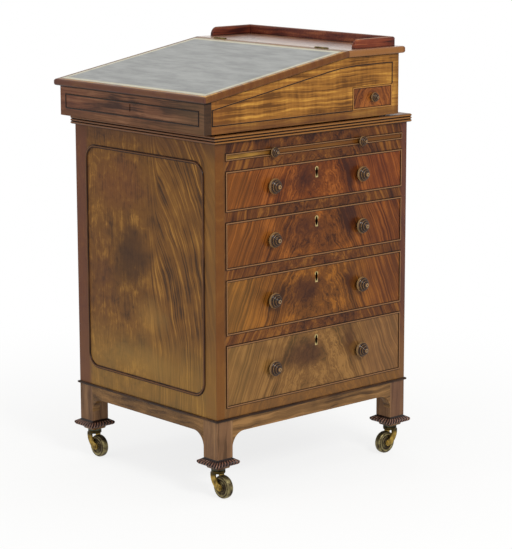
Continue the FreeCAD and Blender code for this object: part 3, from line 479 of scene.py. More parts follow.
def measured(put: Put, hollow: bool = False) -> tuple[Socket, dict[Axis, Socket]]:
    """Give the position on a piece in millimetres, whole and by its measures.

    Args:
        put: the function that adds a node.
        hollow: whether the piece says how deep in a groove each point lies.

    Returns:
        The position, and each measure that needs no panels.
    """
    place = put("VectorMath", {0: put("TexCoord", output="Object"), "Scale": 1 / MM},
                {"operation": "SCALE"})
    axes = {axis: put("SeparateXYZ", {0: place}, output=axis.value) for axis in (X, Y, Z)}
    axes[Axis.PAINTED_LIGHT] = put("VectorMath", {0: put("TexCoord", output="Normal"), 1: PAINTED_LIGHT_FROM},
                           {"operation": "DOT_PRODUCT"}, "Value")
    axes[Axis.PITCH] = put("Math", {0: axes[Y], 1: -LID_SLOPE, 2: axes[Z]},
                           {"operation": "MULTIPLY_ADD"})
    if hollow:
        axes[Axis.HOLLOW] = put("Attribute", {}, {"attribute_name": "hollow"}, "Fac")
    return place, axes


def marks(put: Put, places: tuple[Socket, ...], size: tuple[float, ...],
          settings: dict[str, float]) -> Socket:
    """Draw a noise whose marks have a given size: each place is divided by the size along it.

    Args:
        put: the function that adds a node.
        places: the point's places across the grain, along it and into the wood.
        size: the marks' width, length and depth.
        settings: the noise's own inputs.

    Returns:
        The noise.
    """
    parts = [put("Math", {0: place, 1: extent}, {"operation": "DIVIDE"})
             for place, extent in zip(places, size)]
    return put("TexNoise", {"Vector": put("CombineXYZ", dict(enumerate(parts))), "Scale": 1.0,
                            **settings})


# The width, length and depth of the marks in mahogany, in millimetres. Its real fibres and pores
# are 0.1 to 0.3 mm wide, too fine to show, so both are drawn coarser. The last are a ripple's bars.
FIBRE = (2.6, 80.0, 3.0)
PORE = (0.9, 16.0, 0.9)
STREAK_LENGTH, STREAK_DEPTH = 300.0, 80.0
BAR = (42.0, 7.0, 60.0)
# The sizes of its slower patterns: the lines' wandering, their eddies, the clouds and the mottle.
WANDER, EDDY, CLOUD, MOTTLE = 90.0, 26.0, 60.0, 17.0
# How much the fibre, the streaks and the clouds count in the tone, and how much a ripple's bars do.
FIBRE_SHARE, STREAK_SHARE, CLOUD_SHARE, BAR_SHARE = 0.28, 0.46, 0.26, 0.1
# How far below and above the middle tone the dark and the light colour are full.
DARK_SPAN, LIGHT_SPAN = 0.12, 0.14


@dataclass(frozen=True)
class Veneer:
    """French-polished mahogany: fine dark fibre, broad streaks, cloudy colour and a thin coat.

    With no coat and a rougher surface it is the plain planed wood of the inside.

    Attributes:
        name: the material's name.
        dark: the colour of its dark streaks.
        mid: its middle colour.
        light: the colour of its light streaks.
        along: the axis along which the grain runs.
        across: the axis across it, in the plane of the face.
        figure: how its lines run.
        solid: whether it is solid wood, whose lines go on round its edges.
        centre: where the figure has its middle, across and along the grain.
        spread: how round the head of a crotch's lines is.
        lean: how far a crotch's sides lean for each millimetre along the grain, or how wide an
            arch is for its height.
        sway: how far the lines wander.
        curl: how far the lines swirl in the middle of the figure.
        mottle: how far a soft mottle takes the streaks' place there, from 0 to 1.
        calm: how much softer that mottle is than the streaks.
        middle_reach: how far from the centre the figure's middle begins to fade, and where it
            has gone. All of an arch's near side belongs to its middle.
        streak: how wide a broad streak is.
        contrast: how hard its dark and light streaks stand out.
        panels: rectangles, across and along the grain, whose rims and outlines a wash may follow.
        washes: tints over parts of it.
        patches: ovals of other tints in it.
        roughness: the roughness of the wood below the polish.
        specular: how strongly the wood itself shines.
        coat: how strong the polish is.
        coat_from: the height where a polish that only lies on top begins, and where it is full.
        coat_roughness: the roughness of the polish.
        coat_ior: its index of refraction.
        relief: how deep its pores are.
    """

    name: str
    dark: str
    mid: str
    light: str
    along: Axis = X
    across: Axis = Z
    figure: Figure = Figure.STRAIGHT
    solid: bool = False
    centre: tuple[float, float] = (0.0, 0.0)
    spread: float = 30.0
    lean: float = 0.3
    sway: float = 10.0
    curl: float = 0.0
    mottle: float = 0.0
    calm: float = 1.0
    middle_reach: tuple[float, float] = (20.0, 90.0)
    streak: float = 9.0
    contrast: float = 1.3
    panels: tuple[tuple[float, ...], ...] = ()
    washes: tuple[Wash, ...] = ()
    patches: tuple[Patch, ...] = ()
    roughness: float = 0.38
    specular: float = 0.12
    coat: float = 0.08
    coat_from: tuple[float, float] | None = None
    coat_roughness: float = 0.12
    coat_ior: float = 1.5
    relief: float = 0.1

    @property
    def deep(self) -> Axis:
        """Give the axis square to the face."""
        return next(axis for axis in (X, Y, Z) if axis not in (self.along, self.across))

    def middle(self, put: Put, axes: dict[Axis, Socket]) -> Socket:
        """Give how far a point belongs to the middle of the figure, from 1 down to 0.

        Args:
            put: the function that adds a node.
            axes: the point's measures.

        Returns:
            The share.
        """
        away = put("Math", {0: axes[self.across], 1: self.centre[0]}, {"operation": "SUBTRACT"})
        if self.figure is not Figure.ARCHED:
            away = put("Math", {0: away}, {"operation": "ABSOLUTE"})
        return put("MapRange", {0: away, 1: self.middle_reach[0], 2: self.middle_reach[1],
                                3: 1.0, 4: 0.0}, SOFT)

    def bent(self, put: Put, axes: dict[Axis, Socket], line: Socket, run: Socket) -> Socket:
        """Bend straight lines to an arch or a crotch.

        A crotch's coordinate is the root of the line's squared plus the spread squared, plus the
        lean times the distance along the grain. An arch's lines are ellipses above the centre's
        height, where the coordinate is the root of both distances squared, the one along the grain
        times the lean, and they run straight below it and in its middle.

        Args:
            put: the function that adds a node.
            axes: the point's measures.
            line: the straight lines' coordinate across the grain.
            run: the one along it.

        Returns:
            The bent lines' coordinate.
        """
        arched = self.figure is Figure.ARCHED
        rise = put("Math", {0: run, 1: self.lean}, {"operation": "MULTIPLY"})
        other = self.spread ** 2
        if arched:
            above = put("Math", {0: rise, 1: 0.0}, {"operation": "MAXIMUM"})
            other = put("Math", {0: above, 1: above}, {"operation": "MULTIPLY"})
        square = put("Math", {0: line, 1: line, 2: other}, {"operation": "MULTIPLY_ADD"})
        root = put("Math", {0: square}, {"operation": "SQRT"})
        if arched:
            return put("Mix", {0: self.middle(put, axes), 2: root, 3: line})
        return put("Math", {0: root, 1: rise}, {"operation": "ADD"})

    def field(self, put: Put, place: Socket, axes: dict[Axis, Socket]) -> tuple[Socket, Socket]:
        """Work out the coordinates that the grain is drawn on.

        Across the grain, a straight line's coordinate is its distance from the centre, to which
        solid wood adds its place along the axis square to the face. A slow noise makes the lines
        wander, and a quick one swirls them in the middle of the figure.

        Args:
            put: the function that adds a node.
            place: the position in millimetres.
            axes: the point's measures.

        Returns:
            The coordinates across and along the grain.
        """
        wander = put("TexNoise", {"Vector": place, "Scale": 1 / WANDER, "Detail": 2.0})
        off = put("Math", {0: axes[self.across], 1: self.centre[0]}, {"operation": "SUBTRACT"})
        if self.solid:
            off = put("Math", {0: off, 1: axes[self.deep]}, {"operation": "ADD"})
        run = put("Math", {0: axes[self.along], 1: self.centre[1]}, {"operation": "SUBTRACT"})
        sway = put("Math", {0: wander, 1: 0.5}, {"operation": "SUBTRACT"})
        line = put("Math", {0: sway, 1: 4 * self.sway, 2: off}, {"operation": "MULTIPLY_ADD"})
        if self.figure in (Figure.ARCHED, Figure.CROTCH):
            line = self.bent(put, axes, line, run)
        if self.curl:
            eddy = put("TexNoise", {"Vector": place, "Scale": 1 / EDDY, "Detail": 3.0,
                                    "Roughness": 0.6})
            turn = put("Math", {0: eddy, 1: 0.5}, {"operation": "SUBTRACT"})
            size = put("MapRange", {0: self.middle(put, axes), 3: 0.3 * self.curl,
                                    4: 4 * self.curl})
            line = put("Math", {0: turn, 1: size, 2: line}, {"operation": "MULTIPLY_ADD"})
        return line, run

    def tone(self, put: Put, place: Socket, axes: dict[Axis, Socket]
             ) -> tuple[Socket, Socket, Socket]:
        """Add up the fibre, the streaks, the clouds and the bars of a rippled veneer.

        Args:
            put: the function that adds a node.
            place: the position in millimetres.
            axes: the point's measures.

        Returns:
            The tone, the pores and the clouds.
        """
        line, run = self.field(put, place, axes)
        grain = (line, run, axes[self.deep])
        sizes = (FIBRE, (self.streak, STREAK_LENGTH, STREAK_DEPTH), PORE)
        fibre, streak, pore = (marks(put, grain, size, {"Detail": 3.0, "Roughness": 0.55})
                               for size in sizes)
        cloud = put("TexNoise", {"Vector": place, "Scale": 1 / CLOUD, "Detail": 3.0})
        if self.mottle:
            blotch = put("TexNoise", {"Vector": place, "Scale": 1 / MOTTLE, "Detail": 3.5,
                                      "Roughness": 0.6, "Distortion": 0.6})
            near = put("Math", {0: self.middle(put, axes), 1: self.mottle},
                       {"operation": "MULTIPLY"})
            blotch = put("Math", {0: blotch, 1: 1 / self.calm, 2: 0.5 - 0.5 / self.calm},
                         {"operation": "MULTIPLY_ADD"})
            streak = put("Mix", {0: near, 2: streak, 3: blotch})
        tone = put("Math", {0: fibre, 1: FIBRE_SHARE}, {"operation": "MULTIPLY"})
        for part, share in ((streak, STREAK_SHARE), (cloud, CLOUD_SHARE)):
            tone = put("Math", {0: part, 1: share, 2: tone}, {"operation": "MULTIPLY_ADD"})
        if self.figure is Figure.RIPPLED:
            bars = marks(put, (axes[self.across], *grain[1:]), BAR, {"Detail": 2.0})
            rise = put("Math", {0: bars, 1: 0.5}, {"operation": "SUBTRACT"})
            tone = put("Math", {0: rise, 1: BAR_SHARE, 2: tone}, {"operation": "MULTIPLY_ADD"})
        return tone, pore, cloud

    def add_rims(self, put: Put, axes: dict[Axis, Socket]) -> None:
        """Measure how deep a point lies in the nearest panel, and how far from its outline.

        Args:
            put: the function that adds a node.
            axes: the point's measures, which take both.
        """
        for panel in self.panels:
            depth = depth_inside(put, (axes[self.across], axes[self.along]), panel)
            axes[Axis.RIM] = put("Math", {0: axes[Axis.RIM], 1: depth}, {"operation": "MAXIMUM"}) \
                if Axis.RIM in axes else depth
        if self.panels:
            axes[Axis.LINE] = put("Math", {0: axes[Axis.RIM]}, {"operation": "ABSOLUTE"})

    def patched(self, put: Put, tint: Socket, axes: dict[Axis, Socket], cloud: Socket) -> Socket:
        """Lay the ovals of other tints into the veneer, with edges that the clouds make ragged.

        A point's distance from an oval's centre is the length of both its distances, each over the
        oval's reach that way, plus the cloud times 1.2.

        Args:
            put: the function that adds a node.
            tint: the veneer's own colour.
            axes: the point's measures.
            cloud: the veneer's clouds.

        Returns:
            The colour with all the ovals.
        """
        for patch in self.patches:
            parts = [put("Math", {0: put("Math", {0: axes[axis], 1: middle},
                                         {"operation": "SUBTRACT"}), 1: reach},
                         {"operation": "DIVIDE"})
                     for axis, middle, reach in zip((self.across, self.along), patch.centre,
                                                    patch.reach)]
            off = put("VectorMath", {0: put("CombineXYZ", dict(enumerate(parts)))},
                      {"operation": "LENGTH"}, "Value")
            ragged = put("Math", {0: cloud, 1: 1.2, 2: off}, {"operation": "MULTIPLY_ADD"})
            share = put("MapRange", {0: ragged, 1: 1.6, 2: 0.7, 3: 0.0, 4: patch.share}, SOFT)
            tint = put("Mix", {0: share, 6: tint, 7: linear(patch.tint)}, RGBA, 2)
        return tint

    def material(self) -> bpy.types.Material:
        """Build the veneer.

        Returns:
            The material.
        """
        material, put = blank_material(self.name)
        place, axes = measured(put, any(wash.axis is Axis.HOLLOW for wash in self.washes))
        self.add_rims(put, axes)
        tone, pore, cloud = self.tone(put, place, axes)
        tint = linear(self.dark)
        for colour, start, end in ((self.mid, 0.5 - DARK_SPAN / self.contrast, 0.5),
                                   (self.light, 0.5, 0.5 + LIGHT_SPAN / self.contrast)):
            share = put("MapRange", {0: tone, 1: start, 2: end}, SOFT)
            tint = put("Mix", {0: share, 6: tint, 7: linear(colour)}, RGBA, 2)
        tint = self.patched(put, tint, axes, cloud)
        share = put("MapRange", {0: pore, 1: 0.58, 2: 0.72, 3: 0.0, 4: 0.5}, SOFT)
        tint = put("Mix", {0: share, 6: tint, 7: linear(self.dark)}, RGBA, 2)
        tint = washed(put, tint, axes, self.washes)
        worn = put("MapRange", {0: cloud, 1: 0.35, 2: 0.65, 3: self.roughness - 0.07,
                                4: self.roughness + 0.07})
        relief = put("Bump", {"Height": pore, "Strength": self.relief, "Distance": 0.2 * MM})
        coat = self.coat
        if self.coat_from:
            start, end = self.coat_from
            coat = put("MapRange", {0: axes[Z], 1: start, 2: end, 3: 0.05, 4: self.coat})
        shader = put("BsdfPrincipled", {"Base Color": tint, "Roughness": worn, "Normal": relief,
                                        "Specular IOR Level": self.specular, "Coat Weight": coat,
                                        "Coat Roughness": self.coat_roughness,
                                        "Coat IOR": self.coat_ior})
        put("OutputMaterial", {"Surface": shader})
        return material


@dataclass(frozen=True)
class Keyhole:
    """The dark hole in a lock's lining, an upright oval on a face that looks along X.

    Attributes:
        across: where its middle is along Y.
        level: the height of its middle.
        half_wide: half its width.
        half_tall: half its height.
        dark: the colour inside.
    """

    across: float
    level: float
    half_wide: float = 2.9
    half_tall: float = 9.0
    dark: str = "0a0604"

    def cut(self, put: Put, tint: Socket, place: Socket) -> Socket:
        """Darken the lining's colour inside the oval.

        Args:
            put: the function that adds a node.
            tint: the lining's colour.
            place: the position in millimetres.

        Returns:
            The colour with the hole.
        """
        moved = put("VectorMath", {0: place, 1: (0, self.across, self.level)},
                    {"operation": "SUBTRACT"})
        scaled = put("VectorMath", {0: moved, 1: (0, 1 / self.half_wide, 1 / self.half_tall)},
                     {"operation": "MULTIPLY"})
        off = put("VectorMath", {0: scaled}, {"operation": "LENGTH"}, "Value")
        hole = put("MapRange", {0: off, 1: 1.08, 2: 0.92})
        return put("Mix", {0: hole, 6: tint, 7: linear(self.dark)}, RGBA, 2)


@dataclass(frozen=True)
class Metal:
    """Cast brass with a century of tarnish: bright where it is rubbed, dull and brown elsewhere.

    The tarnish lies in patches about 9 mm across. The pits of the casting are 0.2 to 0.5 mm across
    on the real metal, and are drawn at 1.6 mm so that they show.

    Attributes:
        name: the material's name.
        bright: the colour of rubbed metal.
        dull: the colour of tarnished metal.
        cover: how far the tarnish has come, from 0 to 1.
        uneven: how much more or less of it the patches have.
        roughness: the roughness of the rubbed metal.
        carved: whether the piece has hollows of its own, which are tarnished most.
        washes: tints over parts of it.
        keyhole: the hole in it, if it lines one.
        patch: how wide a patch of tarnish is.
        pit: how wide a pit is.
    """

    name: str
    bright: str
    dull: str
    cover: float = 0.5
    uneven: float = 0.45
    roughness: float = 0.34
    carved: bool = False
    washes: tuple[Wash, ...] = ()
    keyhole: Keyhole | None = None
    patch: float = 9.0
    pit: float = 1.6

    def material(self) -> bpy.types.Material:
        """Build the metal.

        Returns:
            The material.
        """
        material, put = blank_material(self.name)
        place, axes = measured(put, self.carved)
        patches = put("TexNoise", {"Vector": place, "Scale": 1 / self.patch, "Detail": 3.0})
        pits = put("TexNoise", {"Vector": place, "Scale": 1 / self.pit, "Detail": 3.0})
        dulled = put("MapRange", {0: patches, 1: 0.3, 2: 0.7, 3: self.cover - self.uneven,
                                  4: self.cover + self.uneven})
        if self.carved:
            dulled = put("Math", {0: axes[Axis.HOLLOW], 1: 0.8, 2: dulled},
                         {"operation": "MULTIPLY_ADD"})
        dulled = put("Math", {0: dulled, 1: 1.0}, {"operation": "MULTIPLY", "use_clamp": True})
        tint = put("Mix", {0: dulled, 6: linear(self.bright), 7: linear(self.dull)}, RGBA, 2)
        tint = washed(put, tint, axes, self.washes)
        if self.keyhole:
            tint = self.keyhole.cut(put, tint, place)
        rough = put("MapRange", {0: dulled, 3: self.roughness, 4: self.roughness + 0.24})
        relief = put("Bump", {"Height": pits, "Strength": 0.12, "Distance": 0.15 * MM})
        shader = put("BsdfPrincipled", {"Base Color": tint, "Metallic": 1.0, "Roughness": rough,
                                        "Normal": relief})
        put("OutputMaterial", {"Surface": shader})
        return material


@dataclass(frozen=True)
class WritingLeather:
    """Skiver hide laid in the lid, dyed and waxed: pebbled grain, faded dye and a tooled border.

    Attributes:
        name: the material's name.
        dye: its colour.
        faded: its colour where it has faded.
        tooling: the colour of the pale band along its edge.
        pressed: the colour of the blind lines pressed inside the band, and of scuffs.
        outline: its lowest and highest place along X and along Y.
        band: how wide the pale band is.
        lines: how far from the edge each blind line runs, and half its width. They are drawn
            twice as wide as a tooling wheel's, so that they show.
        fade: how long along X, and how wide, a faded cloud is.
        scuff: how long along X, and how wide, a scuff is.
        pebble: how wide a pebble of the grain is. A real one is about 0.5 mm wide, and they are
            drawn coarser so that they show.
        roughness: the roughness of the hide below the wax.
        polish: how strong the wax is where it is least rubbed.
        rubbed: how much weaker it is where it is most rubbed.
        wax_roughness: the roughness of the wax.
        wax_ior: its index of refraction, high enough to mirror the room at a low angle.
    """

    name: str
    dye: str
    faded: str
    tooling: str
    pressed: str
    outline: tuple[float, ...]
    band: float = 9.0
    lines: tuple[tuple[float, float], ...] = ((14.0, 0.8), (22.0, 0.8))
    fade: tuple[float, float] = (90.0, 24.0)
    scuff: tuple[float, float] = (40.0, 3.5)
    pebble: float = 1.8
    roughness: float = 0.52
    polish: float = 1.0
    rubbed: float = 0.2
    wax_roughness: float = 0.34
    wax_ior: float = 1.8

    @staticmethod
    def clouds(put: Put, place: Socket, size: tuple[float, float],
               settings: dict[str, float]) -> Socket:
        """Draw a noise that is drawn out along X.

        Args:
            put: the function that adds a node.
            place: the position in millimetres.
            size: how long along X, and how wide, its marks are.
            settings: the noise's own inputs.

        Returns:
            The noise.
        """
        long, wide = size
        scaled = put("VectorMath", {0: place, 1: (1 / long, 1 / wide, 1 / wide)},
                     {"operation": "MULTIPLY"})
        return put("TexNoise", {"Vector": scaled, "Scale": 1.0, **settings})

    def material(self) -> bpy.types.Material:
        """Build the hide, whose border follows the depth inside its outline.

        Returns:
            The material.
        """
        material, put = blank_material(self.name)
        place, axes = measured(put)
        depth = depth_inside(put, (axes[X], axes[Y]), self.outline)
        band = put("MapRange", {0: depth, 1: self.band + 4.0, 2: self.band - 2.0, 3: 0.0, 4: 0.75},
                   SOFT)
        blind = [put("Math", {0: depth, 1: where, 2: half}, {"operation": "COMPARE"})
                 for where, half in self.lines]
        blind = put("Math", dict(enumerate(blind)), {"operation": "MAXIMUM"})
        fade = self.clouds(put, place, self.fade, {"Detail": 5.0, "Roughness": 0.62})
        pebble = put("TexVoronoi", {"Vector": place, "Scale": 1 / self.pebble},
                     {"feature": "SMOOTH_F1"})
        faded = put("MapRange", {0: fade, 1: 0.35, 2: 0.65}, SOFT)
        tint = put("Mix", {0: faded, 6: linear(self.dye), 7: linear(self.faded)}, RGBA, 2)
        tint = put("Mix", {0: band, 6: tint, 7: linear(self.tooling)}, RGBA, 2)
        scuffs = self.clouds(put, place, self.scuff, {"Detail": 3.0, "Roughness": 0.7})
        scuffs = put("MapRange", {0: scuffs, 1: 0.54, 2: 0.68, 3: 0.0, 4: 0.75})
        share = put("Math", {0: blind, 1: 0.6, 2: scuffs},
                    {"operation": "MULTIPLY_ADD", "use_clamp": True})
        tint = put("Mix", {0: share, 6: tint, 7: linear(self.pressed)}, RGBA, 2)
        height = put("Math", {0: blind, 1: -0.6, 2: pebble}, {"operation": "MULTIPLY_ADD"})
        relief = put("Bump", {"Height": height, "Strength": 0.25, "Distance": 0.3 * MM})
        polish = put("MapRange", {0: fade, 1: 0.35, 2: 0.65, 3: self.polish - self.rubbed,
                                  4: self.polish})
        shader = put("BsdfPrincipled", {"Base Color": tint, "Roughness": self.roughness,
                                        "Normal": relief, "Specular IOR Level": 0.3,
                                        "Coat Weight": polish,
                                        "Coat Roughness": self.wax_roughness,
                                        "Coat IOR": self.wax_ior})
        put("OutputMaterial", {"Surface": shader})
        return material


# ---- the cabinet ---------------------------------------------------------------------------------

@dataclass
class Cabinet:
    """The four-drawer carcase on its plinth.

    Attributes:
        bead_half_wide: half the width of the front panel's frame, to the bead's centre line.
        bead_low: the height of the bead's lower run.
        bead_high: the height of its upper run.
        bead_corner: the radius of its corners.
        bead_section: the bead's outline, out from its centre line and up from the panel.
        front: the front face along Y.
    """

    bead_half_wide: float = 181.5
    bead_low: float = 200.5
    bead_high: float = 655.5
    bead_corner: float = 28.0
    bead_section: tuple[tuple[float, float], ...] = (
        (-3.25, 0), (-3.25, 1.0), (-2.9, 1.3), (-2.3, 1.3), (-2.0, 1.0), (-1.8, 1.6), (-1.3, 2.5),
        (-0.7, 2.9), (0, 3.0), (0.7, 2.9), (1.3, 2.5), (1.8, 1.6), (2.0, 1.0), (2.3, 1.3),
        (2.9, 1.3), (3.25, 1.0), (3.25, 0))
    front: float = -242.75

    def panel_bead(self) -> Surface:
        """Build the bead round the front panel: a round ridge between two low fillets.

        Returns:
            The bead, its section carried round a rectangle with round corners.
        """
        path = rounded_rectangle(self.bead_half_wide, self.bead_low, self.bead_high,
                                 self.bead_corner)
        return carried(path, np.array(self.bead_section)).turned(90, "X").moved(y=self.front)

    def front_and_back(self) -> dict[str, bpy.types.Material]:
        """Give the front and back boards their veneers.

        Returns:
            For each CAD node's name, its material.
        """
        # Flame mahogany, sliced and French polished. Golden streaks arch over a dark, softly
        # mottled heart; the foot is bleached, the left edge purplish and the corner edge red, and
        # the top is darkened with painted shade below the reeded top.
        flame = Veneer("sliced_flame_mahogany", "3c240c", "70481b", "a47432", along=Z, across=X,
                       figure=Figure.ARCHED, centre=(-62, 225), lean=0.52, sway=6, curl=3,
                       mottle=1.0, calm=1.8, middle_reach=(40, 110), streak=6, contrast=1.15,
                       patches=(Patch("3e240e", (-45, 440), (90, 135), 0.78),
                                Patch("6a3a20", (-80, 590), (120, 80), 0.45),
                                Patch("56301a", (-140, 400), (60, 130), 0.5),
                                Patch("9c7438", (20, 330), (70, 50), 0.45),
                                Patch("50371b", (-50, 262), (60, 34), 0.4),
                                Patch("9a7438", (-10, 236), (150, 40), 0.35)),
                       washes=(Wash("9c7838", Z, 330, 220, 0.4),
                               Wash("63392a", X, -172, -188, 0.8),
                               Wash("7d5524", X, 180, 192, 0.6),
                               Wash("5e300c", X, 214, 217, 0.62),
                               # Painted shade along the top, below the reeded top.
                               Wash("55331e", Z, 655, 690, 0.5)))
        # Plain sliced mahogany, thinly polished: broad, quiet upright streaks.
        plain = Veneer("sliced_plain_mahogany", "42260f", "613c1c", "7c5228", along=Z, across=X,
                       sway=3, streak=14, contrast=1.0)
        return {"front_panel_board": flame.material(), "back_panel": plain.material()}

    def sides(self) -> dict[str, bpy.types.Material]:
        """Give the frames between the drawers and the runners behind them their wood.

        Returns:
            For each CAD node's name, its material.
        """
        openings = tuple(outline(node, Y, Z) for node in (
            "slide_right_board", *(f"drawer_{number}_front" for number in range(1, 5))))
        # Crotch mahogany, sliced and French polished: short dark flecks that fan out from the
        # middle, with old wax and painted shade round each opening.
        rails = Veneer("sliced_crotch_mahogany_rails", "2f150a", "583013", "80501f", along=Z,
                       across=Y, figure=Figure.CROTCH, centre=(17, 430), lean=0.45, sway=8,
                       curl=12, mottle=0.8, middle_reach=(60, 200), panels=openings, streak=7,
                       washes=(Wash("64401e", Y, -214, -222, 0.7),
                               Wash("59352b", Y, 252, 262, 0.8),
                               Wash("7e5a2e", Z, 330, 180, 0.5),
                               # Old wax and painted shade round each opening.
                               Wash("1e0d06", Axis.RIM, -2.4, -0.4, 0.8))).material()
        # Planed oak, bare: pale, dull and straight in the grain.
        oak = Veneer("planed_oak_carcase", "7d5d36", "9a7748", "b8945f", along=Y, across=Z,
                     solid=True, sway=5, roughness=0.6, coat=0.0)
        return {"drawer_side_frame": rails, "false_side_frame": rails,
                "drawer_runners": oak.material()}

    def mouldings(self) -> dict[str, bpy.types.Material]:
        """Give the top, the base moulding and the box's guides their wood.

        Returns:
            For each CAD node's name, its material.
        """
        # Mahogany stained and run with a reeding plane: near black, partly its own stain and partly
        # painted shade for the grooves, with a painted golden highlight along the outermost crests
        # and the top edge.
        reeds = Veneer("reeded_mahogany", "180b04", "281408", "3c2210", along=Y, across=Z, streak=5,
                       # Painted highlight along the top edge and the outermost crests of the reeds.
                       washes=(Wash("6a4320", Z, 709.5, 711, 0.9),
                               Wash("8e5e2c", X, 223.4, 223.95, 0.9),
                               Wash("8e5e2c", X, -223.4, -223.95, 0.9),
                               Wash("80583c", Y, -248.9, -249.6, 0.9),
                               Wash("80583c", Y, 277.3, 278.1, 0.9)))
        # The same wood with a rounded edge: dark, and a little worn.
        base = Veneer("rounded_mahogany_base", "1c0e06", "301b0b", "543619", along=Y, across=Z,
                      streak=5)
        # Planed mahogany, hidden below the box: plain reddish brown.
        guides = Veneer("planed_mahogany_guides", "3f2410", "613c1c", "85592a")
        return {"reeded_top": reeds.material(), "base_board": base.material(),
                "box_guides": guides.material()}

    def plinth(self) -> dict[str, bpy.types.Material]:
        """Give the legs and aprons their wood.

        Returns:
            For each CAD node's name, its material.
        """
        # Solid mahogany, polished and bleached by the light: greyish olive, redder at the back.
        legs = Veneer("faded_mahogany_legs", "503722", "745338", "906c48", along=Z, across=Y,
                      solid=True, sway=5, contrast=1.0,
                      washes=(Wash("5c3c2e", Y, 232, 240, 0.6),))
        # Sliced mahogany laid lengthwise, bleached: long sandy streaks.
        aprons = Veneer("faded_mahogany_aprons", "4a321b", "6f4f2c", "926b3f", along=Y, across=Z,
                        sway=6)
        return {"legs": legs.material(), "plinth_aprons": aprons.material()}

    def build(self) -> None:
        """Dress the carcase and build its front bead."""
        dress(self.front_and_back() | self.sides() | self.mouldings() | self.plinth())
        # Mahogany run with a scratch stock: brown on its crest, and near black on its sides, partly
        # old polish and partly painted shade for the grooves beside it.
        bead = Veneer("scratched_mahogany_bead", "1d0f08", "331d10", "4d301b", along=Z, across=X,
                      washes=(Wash("6e4828", Y, self.front - 2.3, self.front - 2.95, 0.8),))
        make_piece("front_panel_moulding", self.panel_bead(), bead.material(), "cabinet",
                   "front_panel_bead")


@dataclass(frozen=True)
class DrawerTones:
    """The colours of one drawer front.

    Attributes:
        dark: the colour of its dark streaks.
        mid: its middle colour.
        light: the colour of its light streaks.
        near: its tint towards the writer.
        far: its tint towards the back.
    """

    dark: str
    mid: str
    light: str
    near: str
    far: str


